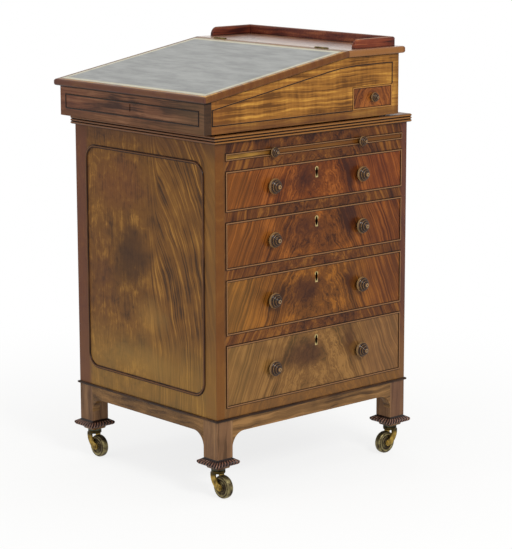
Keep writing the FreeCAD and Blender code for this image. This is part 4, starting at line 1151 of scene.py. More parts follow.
@dataclass
class DrawerSides:
    """The real drawers on the right and the false ones on the left.

    Attributes:
        tones: the drawers' colours from the top one down, each more bleached than the last.
        face: how far the drawer faces stand from the middle.
        proud: how far the cockbead stands out.
        highlight_from: how far out from the face the painted highlight on a cockbead's crest
            begins.
        bead: how wide a drawer's cockbead is.
        slide_bead: how wide a slide's cockbead is.
        wax: how far the old wax and the painted shade reach in from a cockbead.
        figure_at: where the veneers' figure has its middle along Y.
        heart: the colour of the dark heart of that figure.
        lining_at: where the keyhole linings have their middle along Y.
        lining_drop: how far below a drawer's top edge that middle is.
    """

    tones: tuple[DrawerTones, ...] = (
        DrawerTones("3c1a0a", "64310f", "90501e", "804c1a", "75381a"),
        DrawerTones("3a1c09", "643612", "92541e", "7e4a1a", "5e2a14"),
        DrawerTones("3e2209", "673c14", "925a1e", "825a26", "70391c"),
        DrawerTones("523a1b", "6f4c26", "8e6636", "825e30", "7e5638"))
    face: float = 217.0
    proud: float = 2.0
    highlight_from: float = 1.2
    bead: float = 3.0
    slide_bead: float = 2.2
    wax: float = 2.0
    figure_at: float = 17.0
    heart: str = "341710"
    lining_at: float = 19.5
    lining_drop: float = 22.6

    def cockbead(self, side: int, bead: float) -> tuple[Wash, ...]:
        """Give old wax and painted shade beside a cockbead, painted shade on its side and a painted
        golden highlight on its crest.

        Args:
            side: 1 on the right side of the desk, -1 on the left one.
            bead: how wide the bead is.

        Returns:
            The three tints.
        """
        edge = bead + 0.2
        foot, top = side * self.face, side * (self.face + self.proud)
        # Old wax and painted shade inside the bead, painted shade on its side, a painted highlight
        # on its crest.
        return (Wash("1e0d06", Axis.RIM, edge + self.wax, edge, 0.75),
                Wash("1c0d05", X, foot + side * 0.05, foot + side * 0.2, 0.9),
                Wash("8c6440", X, foot + side * self.highlight_from, top - side * 0.1, 0.9))

    def front(self, name: str, tones: DrawerTones, panels: tuple[tuple[float, ...], ...],
              side: int = 1, washes: tuple[Wash, ...] = ()) -> bpy.types.Material:
        """Build the crotch veneer of one drawer front, or of several alike.

        Args:
            name: the material's name.
            tones: its colours.
            panels: the fronts' lowest and highest places along Y and Z.
            side: 1 for the drawers, -1 for the false ones.
            washes: tints over parts of it, below the cockbead's own.

        Returns:
            The material.
        """
        middle, height = self.figure_at, (panels[0][2] + panels[-1][3]) / 2
        # Crotch mahogany, sliced and French polished: fine streaks lean out to both sides of a
        # dark, swirling heart. The cockbead round them has a painted golden highlight on its crest
        # and painted shade at its side, with old wax and painted shade just inside it.
        return Veneer(name, tones.dark, tones.mid, tones.light, along=Z, across=Y,
                      figure=Figure.CROTCH, centre=(middle, height), spread=26, lean=0.42,
                      sway=5, curl=9, mottle=0.65, calm=1.25, middle_reach=(40, 130), streak=5,
                      contrast=1.6, panels=panels,
                      patches=(Patch(self.heart, (middle - 30, height + 10), (85, 40), 0.65),
                               Patch(self.heart, (middle + 95, height + 16), (30, 50), 0.7)),
                      washes=(Wash(tones.near, Y, -90, -200, 0.45),
                              Wash(tones.far, Y, 110, 190, 0.35),
                              *washes, *self.cockbead(side, self.bead))).material()

    def slide(self, label: str, side: int) -> bpy.types.Material:
        """Build the wood of a pull-out slide and its beaded lip.

        Args:
            label: the side's name.
            side: 1 on the right side of the desk, -1 on the left one.

        Returns:
            The material.
        """
        # Solid mahogany, planed and polished: honey brown with long streaks, darker near the
        # writer, where it is handled. Its cockbead has a drawer's painted highlight, painted shade
        # and old wax.
        return Veneer(f"planed_mahogany_slide_{label}", "46290b", "745120", "98702f", along=Y,
                      across=Z, solid=True, sway=4, panels=(self.slide_panel(),),
                      washes=(Wash("5f330f", Y, -160, -80, 0.75),
                              *self.cockbead(side, self.slide_bead))).material()

    @staticmethod
    def slide_panel() -> tuple[float, ...]:
        """Give a slide's height, and for its length that of the drawer below it."""
        return (*outline("slide_right_board", Z), *outline("drawer_1_front", Y))

    def build(self) -> None:
        """Dress the drawers, the false fronts and the slides."""
        # Planed oak, bare: pale brown, straight in the grain, with the sheen of worn wood.
        oak = Veneer("planed_oak_drawer", "82633c", "a07e50", "bb9765", along=X, across=Z,
                     solid=True, sway=5, contrast=1.1, roughness=0.6, coat=0.0).material()
        panels = tuple(outline(f"drawer_{number}_front", Y, Z) for number in range(1, 5))
        for number, (tones, panel) in enumerate(zip(self.tones, panels), 1):
            # Sheet brass, filed to shape and rubbed: pale gold round a dark hole.
            lock = Metal(f"filed_brass_lock_{number}", "cdb880", "9a8450", cover=0.3,
                         keyhole=Keyhole(self.lining_at, panel[3] - self.lining_drop)).material()
            face = self.front(f"sliced_crotch_mahogany_{number}", tones, (panel,))
            dress({f"drawer_{number}_front": face, f"drawer_{number}_box": oak,
                   f"drawer_{number}_lock": lock})
        false = self.front("sliced_crotch_mahogany_false", self.tones[1], panels, side=-1,
                           washes=(Wash("6f4e28", Z, 330, 180, 0.5),))
        dress({"false_drawer_fronts": false, "slide_right_board": self.slide("right", 1),
               "slide_left_board": self.slide("left", -1)})


@dataclass
class Knobs:
    """The turned knobs: a ring and neck at the foot, a swelling head and a stepped boss.

    Attributes:
        profile: the turned line, as shares of the knob's length and of its radius, and how deep
            in a hollow each of its points lies.
        stalk_share: how thick a stalk is, as a share of the knob's radius.
        slide_stalk: how long the stalks are that carry the slides' knobs past their lip.
        rows_apart: the least height between two rows of knobs.
    """

    profile: tuple[tuple[float, float, float], ...] = (
        (0, 0, 1), (0, 0.60, 1), (0.04, 0.64, 0.5), (0.09, 0.62, 0.8), (0.12, 0.52, 1),
        (0.17, 0.50, 1), (0.22, 0.60, 0.9), (0.26, 0.86, 0.6), (0.30, 0.97, 0.28),
        (0.36, 1.0, 0.14), (0.46, 0.99, 0.12), (0.54, 0.93, 0.2), (0.59, 0.84, 0.7),
        (0.60, 0.76, 1), (0.63, 0.74, 0.7), (0.67, 0.78, 0), (0.71, 0.74, 0.3), (0.75, 0.64, 0.8),
        (0.76, 0.55, 1), (0.79, 0.53, 0.5), (0.83, 0.56, 0), (0.87, 0.50, 0.4), (0.89, 0.38, 1),
        (0.92, 0.33, 0.7), (0.96, 0.32, 0.3), (1.0, 0.2, 0.1), (1.0, 0, 0.3))
    stalk_share: float = 0.4
    slide_stalk: float = 2.5
    rows_apart: float = 20.0

    def turned(self, radius: float, length: float, stalk: float) -> Surface:
        """Turn one knob that stands on z = 0 and points up.

        Args:
            radius: its widest radius.
            length: how far it stands out.
            stalk: how long the thin stalk is that carries it past a bead.

        Returns:
            The knob.
        """
        points, steps = 110, 48
        knots = [(share * radius, stalk + along * (length - stalk), deep)
                 for along, share, deep in self.profile]
        if stalk:
            thin = self.stalk_share * radius
            knots = [(0, 0, 1), (thin, 0, 1), (thin, stalk, 1)] + knots[1:]
        line = eased(knots, points)
        return replace(lathe(line[:, :2], steps), hollow=np.repeat(line[:, 2], steps))

    def on_node(self, node: str, body: str, side: int, finish: bpy.types.Material,
                stalk: float = 0.0) -> None:
        """Build the knobs of a CAD node where that node has them.

        Args:
            node: the node, whose knobs all point along X.
            body: the body that they move with.
            side: 1 where they point to +X, -1 where they point to -X.
            finish: their material.
            stalk: how long their stalks are.
        """
        low, high = box_mm(node)
        foot, tip = (low[0], high[0]) if side > 0 else (high[0], low[0])
        rows = self.heights(node)
        radius = rows[0][1]
        knob = self.turned(radius, abs(tip - foot), stalk).turned(90 * side, "Y")
        ends = sorted({low[1] + radius, high[1] - radius}) if high[1] - low[1] > 3 * radius \
            else [(low[1] + high[1]) / 2]
        parts = [knob.moved(foot, y, z) for y in ends for z, _ in rows]
        make_piece(f"{node}_turned", Surface.joined(parts), finish, body, node, 35)

    def heights(self, node: str) -> list[tuple[float, float]]:
        """Find the rows of a node's knobs, which are groups of levels in its mesh.

        Args:
            node: the CAD node.

        Returns:
            The height and radius of each row, from the lowest one up.
        """
        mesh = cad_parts[node].data
        levels = np.empty(len(mesh.vertices) * 3)
        mesh.vertices.foreach_get("co", levels)
        levels = np.sort(levels.reshape(-1, 3)[:, 2]) / MM
        breaks = np.flatnonzero(np.diff(levels) > self.rows_apart)
        starts, ends = np.append(0, breaks + 1), np.append(breaks, len(levels) - 1)
        return [((levels[start] + levels[end]) / 2, (levels[end] - levels[start]) / 2)
                for start, end in zip(starts, ends)]

    def build(self) -> None:
        """Build every knob of the desk."""
        # Mahogany turned on a lathe, polished on it: near black in the hollows as painted shade,
        # with a painted cream highlight on each rounded step.
        finish = Veneer("turned_mahogany", "26150a", "4c2d12", "6e4a20", along=X, across=Z,
                        streak=6, contrast=0.9, roughness=0.3, specular=0.1, coat=0.3,
                        coat_roughness=0.08,
                        # Painted shade in the hollows and a painted highlight on the crests.
                        washes=(Wash("140803", Axis.HOLLOW, 0.3, 0.8, 0.92),
                                Wash("e0bc84", Axis.HOLLOW, 0.24, 0.0, 0.7))).material()
        for number in range(1, 5):
            self.on_node(f"drawer_{number}_knobs", f"drawer_{number}", 1, finish)
        self.on_node("false_drawer_knobs", "cabinet", -1, finish)
        self.on_node("slide_right_knobs", "slide_right", 1, finish, self.slide_stalk)
        self.on_node("slide_left_knobs", "slide_left", -1, finish, self.slide_stalk)
        self.on_node("pen_drawer_knob", "pen_drawer", 1, finish)


@dataclass
class Feet:
    """The gadrooned collars under the legs, their pads, and the brass casters.

    Attributes:
        leg_x: how far the legs stand from the middle along X.
        leg_y: where the front and back legs stand along Y.
        neck: half the collar's width where it meets the leg.
        reach: half its width at the rim.
        head: the height of the collar's top.
        foot: the height of its underside.
        lobes: how many lobes a side has.
        groove: how deep the grooves between them are at the rim.
        slant: how far the lobes shift round from top to bottom, in lobes.
        squareness: the power of the norm that rounds the collar's corners.
    """

    leg_x: float = 197.0
    leg_y: tuple[float, float] = (-222.75, 251.25)
    neck: float = 20.0
    reach: float = 31.0
    head: float = 80.0
    foot: float = 66.0
    lobes: int = 8
    groove: float = 2.6
    slant: float = 0.12
    squareness: int = 24

    def collar(self) -> Surface:
        """Build one collar about the origin.

        A square outline is walked side by side. Each point is drawn in by the 24th power norm,
        which rounds the corners, and scaled to the half width at its height. Between the lobes the
        half width falls by the groove's depth times one less the size of a sine of the way round.
        The sine shifts with the height, so that the lobes slant. The grooves deepen over the first
        6 mm out from the neck, and stop at the flat underside.

        Returns:
            The collar.
        """
        points, side_points = 46, 96
        line = eased([(self.neck, self.head), (self.neck + 0.5, self.head - 1.2),
                      (self.neck + 3.0, self.head - 2.6), (self.reach - 3.2, self.head - 5.2),
                      (self.reach - 0.6, self.head - 6.4), (self.reach, self.head - 8.0),
                      (self.reach, self.head - 10.8), (self.reach - 0.8, self.head - 12.4),
                      (self.reach - 2.2, self.head - 12.9), (self.reach - 2.6, self.head - 13.6),
                      (self.reach - 4.0, self.foot), (8, self.foot), (0, self.foot)], points)
        along = np.linspace(-1, 1, side_points, endpoint=False)
        ones = np.ones_like(along)
        square = np.concatenate([np.stack(side, -1) for side in (
            (ones, along), (-along, ones), (-ones, -along), (along, -ones))])
        power = self.squareness
        square /= (np.abs(square) ** power).sum(axis=1, keepdims=True) ** (1 / power)
        walked = np.arange(len(square)) / len(along)
        out = line[:, :1] - self.neck
        drop = (self.head - line[:, 1:]) / (self.head - self.foot)
        depth = self.groove * np.clip(out / 6, 0, 1) * (drop < 0.995)
        turn = np.pi * self.lobes * (walked[None, :] + self.slant * drop)
        wave = np.abs(np.sin(turn)) ** 0.8
        half = line[:, :1] - depth * (1 - wave)
        flat = square[None, :, :] * half[..., None]
        up = np.broadcast_to(line[:, 1:, None], flat.shape[:2] + (1,))
        hollow = np.maximum(1 - wave, 1 - np.clip(out / 5, 0, 1))
        return Surface(np.concatenate([flat, up], -1).reshape(-1, 3),
                       grid_faces(len(line), len(square), False, True), hollow.reshape(-1))

    def pad(self) -> Surface:
        """Build the tapering square pad between a collar and its caster.

        Its four corners are scaled at each height by the profile's half width, less 3%.

        Returns:
            The pad.
        """
        line = eased([(0, self.foot), (17.6, self.foot), (18.0, self.foot - 0.5),
                      (15.8, self.foot - 7.6), (15.4, self.foot - 8), (0, self.foot - 8)], 40)
        corners = 0.97 * np.array([(1, -1), (1, 1), (-1, 1), (-1, -1)])
        flat = corners[None, :, :] * line[:, None, :1]
        up = np.broadcast_to(line[:, None, 1:], flat.shape[:2] + (1,))
        return Surface(np.concatenate([flat, up], -1).reshape(-1, 3),
                       grid_faces(len(line), len(corners), False, True))

    def at_legs(self, shape: Surface) -> Surface:
        """Give four copies of a shape, one under each leg."""
        return Surface.joined([shape.moved(x, y) for x in (-self.leg_x, self.leg_x)
                               for y in self.leg_y])

    def wheel(self, node: str) -> Surface:
        """Turn one wheel: a hub, a dished side with rings, a raised rim and a rounded tread.

        Each of the profile's rows is a radius, a distance from the wheel's middle plane and how
        deep in a hollow it lies.

        Args:
            node: the CAD wheel whose size, place and axle it takes.

        Returns:
            The wheel.
        """
        low, high = box_mm(node)
        size = high - low
        radius, half = size[2] / 2, min(size[0], size[1]) / 2
        steps = 72
        side = np.array([(2.55, half, 0.8), (6.4, half, 0.4), (7.0, half - 0.5, 0.7),
                         (7.4, half - 1.6, 1.0), (9.8, half - 2.3, 1.0), (10.6, half - 1.6, 0.1),
                         (11.4, half - 2.3, 1.0), (14.4, half - 2.5, 0.9), (15.2, half - 2.0, 0.7),
                         (16.2, half - 0.8, 0.0), (18.6, half - 0.5, 0.1), (19.2, half - 1.1, 0.9),
                         (20.0, half - 1.2, 0.8), (21.4, half - 2.0, 0.0), (22.5, half - 3.6, 0.3),
                         (radius, half - 5.4, 0.4)])
        profile = np.concatenate([side, side[::-1] * np.array([1, -1, 1])])
        turned = replace(lathe(profile[:, :2], steps, closed=True),
                         hollow=np.repeat(profile[:, 2], steps))
        turned = turned.turned(90, "Y") if size[0] < size[1] else turned.turned(90, "X")
        return turned.moved(*((low + high) / 2))

    def build(self) -> None:
        """Build the collars, pads and wheels, and dress the forks and plates."""
        # Mahogany, carved and polished: rosy lobes as a painted highlight, near black in the
        # grooves and at the leg, partly its own dark colour and partly painted shade.
        carved = Veneer("carved_mahogany", "4e3026", "785242", "a47e6a", along=Z, across=X,
                        streak=5, roughness=0.34, specular=0.2, coat=0.1,
                        # Near black in the grooves and at the leg, partly painted shade.
                        washes=(Wash("120907", Axis.HOLLOW, 0.03, 0.3, 0.96),)).material()
        # Mahogany, planed and polished: golden brown.
        planed = Veneer("planed_mahogany_pad", "2e1c0e", "543620", "8a6438", along=Z, across=X
                        ).material()
        # Cast brass, turned: pale and scuffed on the rim and rings, nearly black between them.
        wheel = Metal("turned_brass_wheel", "90845a", "3a3026", cover=0.3, roughness=0.38,
                      carved=True).material()
        # Cast brass, rubbed by hands and hems: bright gold and brown, with painted shade near black
        # under the plate.
        fork = Metal("cast_brass_fork", "bc9c4c", "54411f", cover=0.5,
                     # Painted shade under the plate.
                     washes=(Wash("15130e", Z, 40, 47, 0.85),)).material()
        # Cast brass that nothing rubs: dark, dull and greenish.
        plate = Metal("cast_brass_plate", "5c6050", "2c2a22", cover=0.6).material()
        make_piece("gadrooned_collars", self.at_legs(self.collar()), carved, "cabinet",
                   "foot_collars", 50)
        make_piece("foot_pads", self.at_legs(self.pad()), planed, "cabinet", "foot_collars",
                   20)
        dress({"caster_plates": plate})
        for number in range(1, 5):
            make_piece(f"caster_wheel_{number}_turned", self.wheel(f"caster_wheel_{number}"),
                       wheel, f"wheel_{number}", f"caster_wheel_{number}", 30)
            dress({f"caster_fork_{number}": fork})


# ---- the writing box -----------------------------------------------------------------------------

@dataclass
class WritingBox:
    """The sliding box, its sloping lid, its gallery and its pen drawer.

    Attributes:
        gallery_half: half the width of the gallery, to its rail's centre line.
        gallery_front: where its sides begin along Y.
        gallery_back: where its back rail runs along Y.
        gallery_foot: the height of the rails' foot, in their groove.
        shelf: the height of the shelf.
        gallery_top: the height of the rails' top.
        stock: how thick a rail is.
        sweep: how far from its front end a side comes up to full height.
        line_half: half the width of the line let in round the box's front.
        line_levels: the heights of its lower and upper runs.
    """

    gallery_half: float = 214.0
    gallery_front: float = 119.25
    gallery_back: float = 228.75
    gallery_foot: float = 849.0
    shelf: float = 851.0
    gallery_top: float = 870.0
    stock: float = 8.0
    sweep: float = 13.0
    line_half: float = 206.0
    line_levels: tuple[float, float] = (731.0, 758.5)

    def gallery(self) -> Surface:
        """Build the low rail round three sides of the shelf.

        Its section is a wall with a half-round top. The wall's height grows from the front ends as
        a quarter circle does: the sweep's root of one less the square of what is left of it.

        Returns:
            The rail.
        """
        side = np.concatenate([[0, 0.02, 1], 1 + self.sweep * (1 - np.cos(
            np.linspace(0, np.pi / 2, 14)))[1:], [40, self.gallery_back - self.gallery_front]])
        right = np.stack([self.gallery_half + 0 * side, self.gallery_front + side], -1)
        path = np.concatenate([right, right[::-1] * np.array([-1, 1])])
        left = np.clip(1 - (side - 1) / self.sweep, 0, 1)
        tall = self.gallery_top - self.shelf
        height = tall - self.sweep * (1 - np.sqrt(1 - left ** 2))
        height[side < 1] = (tall - self.sweep) * side[side < 1]
        height = self.shelf + np.concatenate([height, height[::-1]])
        turn = np.linspace(0, np.pi, 13)
        half = self.stock / 2
        out = np.concatenate([[half], half * np.cos(turn), [-half]])
        rise = np.concatenate([[0], half * (np.sin(turn) - 1), [0]])
        share = np.concatenate([[0], np.ones(len(turn)), [0]])
        up = self.gallery_foot + share * (height[:, None] - self.gallery_foot) + rise
        up = np.maximum(up, self.gallery_foot)
        flat = path[:, None, :] + mitres(path, False)[:, None, :] * out[None, :, None]
        points = np.concatenate([flat, up[..., None]], -1)
        foot = points.mean(axis=1, keepdims=True) + 0 * points
        points = np.concatenate([foot[:1], points, foot[-1:]])
        return Surface(points.reshape(-1, 3), grid_faces(len(points), len(out), False, True))

    def walls(self) -> dict[str, bpy.types.Material]:
        """Give the box's walls their veneers, and the lines let in to them their wood.

        Returns:
            For each CAD node's name, its material.
        """
        # Fiddleback mahogany, sliced and French polished: a bright golden veneer crossed by short
        # ripples, with a dark corner, and painted shadow in dark lines below the shelf and the lid.
        side = Veneer("sliced_rippled_mahogany", "5c3812", "8c5c24", "b88438", along=Y, across=Z,
                      figure=Figure.RIPPLED, sway=3, streak=7, contrast=1.3,
                      washes=(Wash("56321a", Z, 738, 722, 0.65),
                              Wash("7a4a20", Y, -180, -262, 0.5),
                              Wash("5a3616", Y, 222, 236, 0.5),
                              Wash("2c170b", Y, -269.5, -272.5, 0.7),
                              # Painted shadow below the lid and the shelf.
                              Wash("1a0c05", Axis.PITCH, 818.6, 820.4, 0.85),
                              Wash("1a0c05", Z, 834.2, 836.0, 0.85))).material()
        # Plain mahogany, sliced and polished, faded by the light: long dusky streaks, with painted
        # shade along the line round the front, a painted shadow below the lid and a dark corner.
        grain = ("3c2419", "6b452f", "8e6448")
        front = Veneer("sliced_mahogany_box_front", *grain, along=X, across=Z, sway=2.5, streak=7,
                       contrast=1.35,
                       panels=((-self.line_half, self.line_half, *self.line_levels),),
                       washes=(Wash("6e3e2c", X, -60, -210, 0.45),
                               Wash("664e34", X, 60, 210, 0.5),
                               Wash("6e4a2a", Z, 731, 722, 0.35),
                               # Painted shade along the line, and a painted shadow below the lid.
                               Wash("1c0e09", Axis.LINE, 3.4, 1.6, 0.7),
                               Wash("140a06", Z, 771.6, 773.4, 0.85),
                               Wash("1e100a", X, 220.6, 223, 0.7)))
        back = Veneer("sliced_mahogany_box_back", *grain, along=X, across=Z, sway=2.5)
        # Ebonised mahogany stringing: a black line, with a painted highlight in brown on its faces
        # that look up and towards the writer, kept off the box's front.
        lines = Veneer("ebonised_stringing", "120804", "1e0f07", "3a2010", along=Y, across=Z,
                       # Painted highlight on the faces that look up and towards the writer.
                       streak=3, washes=(Wash("a8743e", Axis.PAINTED_LIGHT, 0.35, 0.75, 0.8),
                                         Wash("160a06", Y, -273.3, -273.5, 0.95)))
        return {"box_side_left": side, "box_side_right": side, "box_front": front.material(),
                "box_back": back.material(), "box_lines": lines.material()}

    def lid(self) -> dict[str, bpy.types.Material]:
        """Give the lid its wood, its leather and its hinges' metal.

        Returns:
            For each CAD node's name, its material.
        """
        # Mahogany, sliced and polished: light brown, with a dark line at the leather, a rubbed
        # nosing and a shadow along its lower edge.
        board = Veneer("sliced_mahogany_lid", "70481e", "9c6c34", "c4944c", along=X, across=Y,
                       streak=7, panels=(outline("lid_leather", Y, X),),
                       washes=(Wash("2e1a0c", Axis.RIM, -1.9, -0.4, 0.9),
                               Wash("84705e", Y, 80.5, 84, 0.8),
                               Wash("5c3214", X, 229.5, 231.5, 0.9),
                               Wash("5c3214", X, -229.5, -231.5, 0.9),
                               Wash("5c4038", X, -221.8, -223.5, 0.7),
                               Wash("58342a", Y, -277, -279.5, 0.9),
                               Wash("180b07", Z, 777.6, 775.4, 0.9)))
        # Skiver leather, dyed, tooled and waxed: dark grey-green from above, and from low down
        # pale with the room that its wax mirrors.
        hide = WritingLeather("tooled_skiver_leather", "4c4e48", "696b64", "c2b88c", "1e201c",
                              outline("lid_leather", X, Y))
        # Cast brass, filed flat and never cleaned: brown with a little gold.
        hinge = Metal("filed_brass_hinge", "8c7a48", "4c4228", cover=0.55).material()
        return {"lid_board": board.material(), "lid_leather": hide.material(),
                "hinge_lid": hinge, "hinge_fixed": hinge}

    def shelf_board(self) -> dict[str, bpy.types.Material]:
        """Give the shelf its wood.

        Returns:
            For each CAD node's name, its material.
        """
        # Mahogany under a thick, level French polish: reddish brown from above, and from low
        # down pale with the room that the polish mirrors. Towards the front it is painted paler, a
        # painted reflection of the room. Its edges have no such polish.
        board = Veneer("french_polished_mahogany_shelf", "5a3420", "845638", "a87c58", along=X,
                       across=Y, roughness=0.3, coat=1.0, coat_from=(850.2, 850.9),
                       coat_roughness=0.3, coat_ior=1.9, sway=4, relief=0.01,
                       # Painted reflection: paler towards the front.
                       washes=(Wash("b8987c", Y, 150, 100, 0.5),
                               Wash("86582e", X, 226, 230, 0.95),
                               Wash("86582e", X, -226, -230, 0.95),
                               Wash("6e4424", Y, 241, 245, 0.95),
                               Wash("5e3a20", Y, 92.2, 91.7, 0.95)))
        return {"box_shelf": board.material()}

    def inside(self) -> dict[str, bpy.types.Material]:
        """Give the box's inside, its lock and the pen drawer their finishes.

        Returns:
            For each CAD node's name, its material.
        """
        # Cedar, planed and bare: pale orange brown and dull.
        cedar = Veneer("planed_cedar", "8c6238", "a87c4c", "c09868", along=X, across=Y,
                       solid=True, sway=5, roughness=0.55, coat=0.0)
        # Mahogany, planed and thinly polished: red brown, with broad streaks.
        floor = Veneer("planed_mahogany_box_floor", "42220f", "64391f", "845430", along=X,
                       across=Y, sway=6, streak=12)
        # Crotch mahogany, sliced and French polished: red brown and hard in its streaks. Its
        # cockbead has a painted golden highlight on its crest and painted shade at its side, with
        # old wax and painted shade just inside it.
        pen = Veneer("sliced_crotch_mahogany_pen_drawer", "3c1c0c", "6b3919", "945624", along=Z,
                     across=Y, figure=Figure.CROTCH, centre=(165, 754), spread=14, lean=0.4,
                     sway=4, curl=6, streak=6, contrast=1.5, panels=(outline("pen_drawer", Y, Z),),
                     # Old wax and painted shade inside the bead, painted shade on its side, a
                     # painted highlight on its crest.
                     washes=(Wash("1e0d06", Axis.RIM, 5.2, 3.2, 0.75),
                             Wash("1c0d05", X, 224.05, 224.15, 0.9),
                             Wash("a8743a", X, 224.6, 225.0, 0.9)))
        # Sheet brass, rolled and screwed on: pale gold, half tarnished.
        lock = Metal("rolled_brass_lock", "b39a62", "75643f")
        return {"box_dividers": cedar.material(), "box_bottom": floor.material(),
                "pen_drawer": pen.material(), "box_lock": lock.material()}

    def build(self) -> None:
        """Dress the box and the lid and build the gallery."""
        dress(self.walls() | self.lid() | self.shelf_board() | self.inside())
        # Mahogany, planed to a half round and polished: cherry red, with a painted highlight pale
        # along its crest, and darker at its foot, where it meets the shelf.
        rail = Veneer("rounded_mahogany_gallery", "35140c", "6e321e", "a4603a", along=Y, across=Z,
                      sway=1.5, streak=7, contrast=1.3,
                      # Painted highlight along the crest.
                      washes=(Wash("b08462", Z, self.gallery_top - 1.4, self.gallery_top - 0.2,
                                   0.7),
                              Wash("4a2422", Y, 222, 226, 0.5),
                              Wash("34161a", X, -196, -212, 0.3),
                              Wash("2a120c", Z, self.shelf + 3, self.shelf, 0.7)))
        make_piece("gallery_rail", self.gallery(), rail.material(), "writing_box", "box_gallery",
                   50)


# ---- the studio ----------------------------------------------------------------------------------

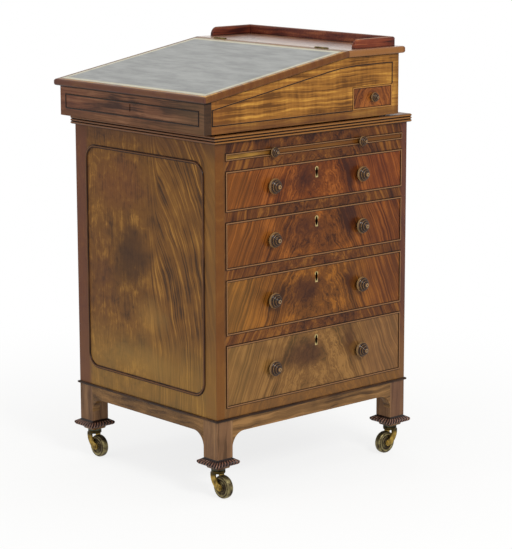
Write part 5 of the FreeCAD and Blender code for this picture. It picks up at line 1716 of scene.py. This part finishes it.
@dataclass
class Studio:
    """The floor, the lamps and the camera.

    Attributes:
        eye: where the camera stands, in millimetres.
        yaw: how far it is turned to the left of +Y, in degrees.
        pitch: how far it looks down.
        roll: how far it is tilted.
        lens: its focal length on a 36 mm sensor.
        ambient: the strength of the even light from all round.
        key: the power of the large lamp, in watts.
        fill: the power of the small one.
        aim: the height that the lamps point at, in metres.
        floor_half: half the floor's width, in metres.
        floor_drop: how far the floor lies below the wheels, so that the two don't flicker.
        shadow_reach: how far from the middle the floor's own colour begins to turn white to the
            eye, and where it is white.
        shadow_white: what share of it looks plain white before that.
    """

    eye: tuple[float, float, float] = (3172.1, -2779.35, 1224.3)
    yaw: float = 48.24
    pitch: float = 11.291
    roll: float = -0.152
    lens: float = 137.29
    ambient: float = 0.72
    key: float = 70.0
    fill: float = 12.0
    aim: float = 0.45
    floor_half: float = 9.0
    floor_drop: float = 0.0002
    shadow_reach: tuple[float, float] = (0.25, 1.4)
    shadow_white: float = 0.8

    @staticmethod
    def placed(across: np.ndarray, up: np.ndarray, back: np.ndarray, place: np.ndarray) -> Matrix:
        """Give the matrix of an object that looks away from its back, from its own three axes.

        Args:
            across: its X axis.
            up: its Y axis.
            back: its Z axis.
            place: where it stands, in metres.

        Returns:
            The matrix.
        """
        pose = np.eye(4)
        pose[:3] = np.stack([across, up, back, place], -1)
        return Matrix(pose.tolist())

    def camera(self) -> None:
        """Create the camera and make it the scene's."""
        yaw, pitch, roll = np.radians([self.yaw, self.pitch, self.roll])
        ahead = np.array([-np.sin(yaw) * np.cos(pitch), np.cos(yaw) * np.cos(pitch),
                          -np.sin(pitch)])
        right = np.array([np.cos(yaw), np.sin(yaw), 0])
        up = np.cross(right, ahead)
        across = np.cos(roll) * right + np.sin(roll) * up
        rise = -np.sin(roll) * right + np.cos(roll) * up
        data = bpy.data.cameras.new("camera")
        data.sensor_width, data.lens, data.clip_end = 36.0, self.lens, 100.0
        camera = bpy.data.objects.new("camera", data)
        camera.matrix_world = self.placed(across, rise, -ahead, np.array(self.eye) * MM)
        bpy.context.scene.collection.objects.link(camera)
        bpy.context.scene.camera = camera

    def lamp(self, name: str, place: tuple[float, float, float], size: float,
             power: float) -> None:
        """Hang a square lamp that points at the desk's middle.

        Args:
            name: the lamp's name.
            place: where it hangs, in metres.
            size: the length of its side, in metres.
            power: its power in watts.
        """
        data = bpy.data.lights.new(name, "AREA")
        data.shape, data.size, data.energy = "SQUARE", size, power
        lamp = bpy.data.objects.new(name, data)
        back = np.array(place) - np.array([0, 0, self.aim])
        back /= np.linalg.norm(back)
        side = np.cross([0, 0, 1.0], back)
        side /= np.linalg.norm(side)
        lamp.matrix_world = self.placed(side, np.cross(back, side), back, np.array(place))
        bpy.context.scene.collection.objects.link(lamp)

    def world(self) -> None:
        """Light the desk evenly, and show a white background to the eye and in reflections."""
        world = bpy.data.worlds.new("studio")
        bpy.context.scene.world = world
        world.use_nodes = True
        world.node_tree.nodes.clear()
        put = partial(add, world.node_tree)
        strength = put("MapRange", {0: self.seen(put), 3: self.ambient, 4: 1.0})
        light = put("Background", {"Color": (1, 1, 1, 1), "Strength": strength})
        put("OutputWorld", {"Surface": light})

    @staticmethod
    def seen(put: Put) -> Socket:
        """Add the nodes that tell a ray from the eye, a reflection or glass from one of light.

        Args:
            put: the function that adds a node.

        Returns:
            1 for such a ray, and 0 for one of light.
        """
        eye, gloss, glass = (put("LightPath", output=name) for name in (
            "Is Camera Ray", "Is Glossy Ray", "Is Transmission Ray"))
        both = put("Math", {0: eye, 1: gloss}, {"operation": "MAXIMUM"})
        return put("Math", {0: both, 1: glass}, {"operation": "MAXIMUM"})

    def floor(self) -> None:
        """Lay the pale floor, which keeps the desk's shadow near it and is white further off.

        Its points lie on a square grid a metre apart, nine metres out to each side.
        """
        reach = np.linspace(-self.floor_half, self.floor_half, 19)
        x, y = np.meshgrid(reach, reach)
        mesh = bpy.data.meshes.new("floor")
        mesh.from_pydata(np.stack([x, y, 0 * x - self.floor_drop], -1).reshape(-1, 3), [],
                         grid_faces(len(reach), len(reach)).tolist())
        # Matt white paint, which takes the desk's soft shadow.
        material, put = blank_material("matt_painted_floor")
        away = put("VectorMath", {0: put("TexCoord", output="Object")}, {"operation": "LENGTH"},
                   output="Value")
        near, far = self.shadow_reach
        white = put("MapRange", {0: away, 1: near, 2: far, 3: self.shadow_white, 4: 1.0}, SOFT)
        share = put("Math", {0: self.seen(put), 1: white}, {"operation": "MULTIPLY"})
        paint = put("BsdfDiffuse", {"Color": linear("f4f4f0")})
        glow = put("Emission", {"Color": (1, 1, 1, 1), "Strength": 1.0})
        put("OutputMaterial", {"Surface": put("MixShader", {0: share, 1: paint, 2: glow})})
        mesh.materials.append(material)
        floor = bpy.data.objects.new("floor", mesh)
        bpy.context.scene.collection.objects.link(floor)

    def build(self) -> None:
        """Set the scene up."""
        self.camera()
        self.world()
        self.floor()
        self.lamp("key_lamp", (3.2, -0.6, 2.6), 1.0, self.key)
        self.lamp("fill_lamp", (-1.0, -3.4, 2.2), 0.7, self.fill)
        bpy.context.scene.view_settings.view_transform = "Standard"


def main() -> None:
    """Build the desk and its studio."""
    logging.basicConfig(level=logging.INFO, format="%(name)s %(message)s")
    for part in (Cabinet(), DrawerSides(), Knobs(), Feet(), WritingBox(), Studio()):
        LOG.info("building %s", type(part).__name__)
        part.build()


if __name__ == "__main__":
    main()
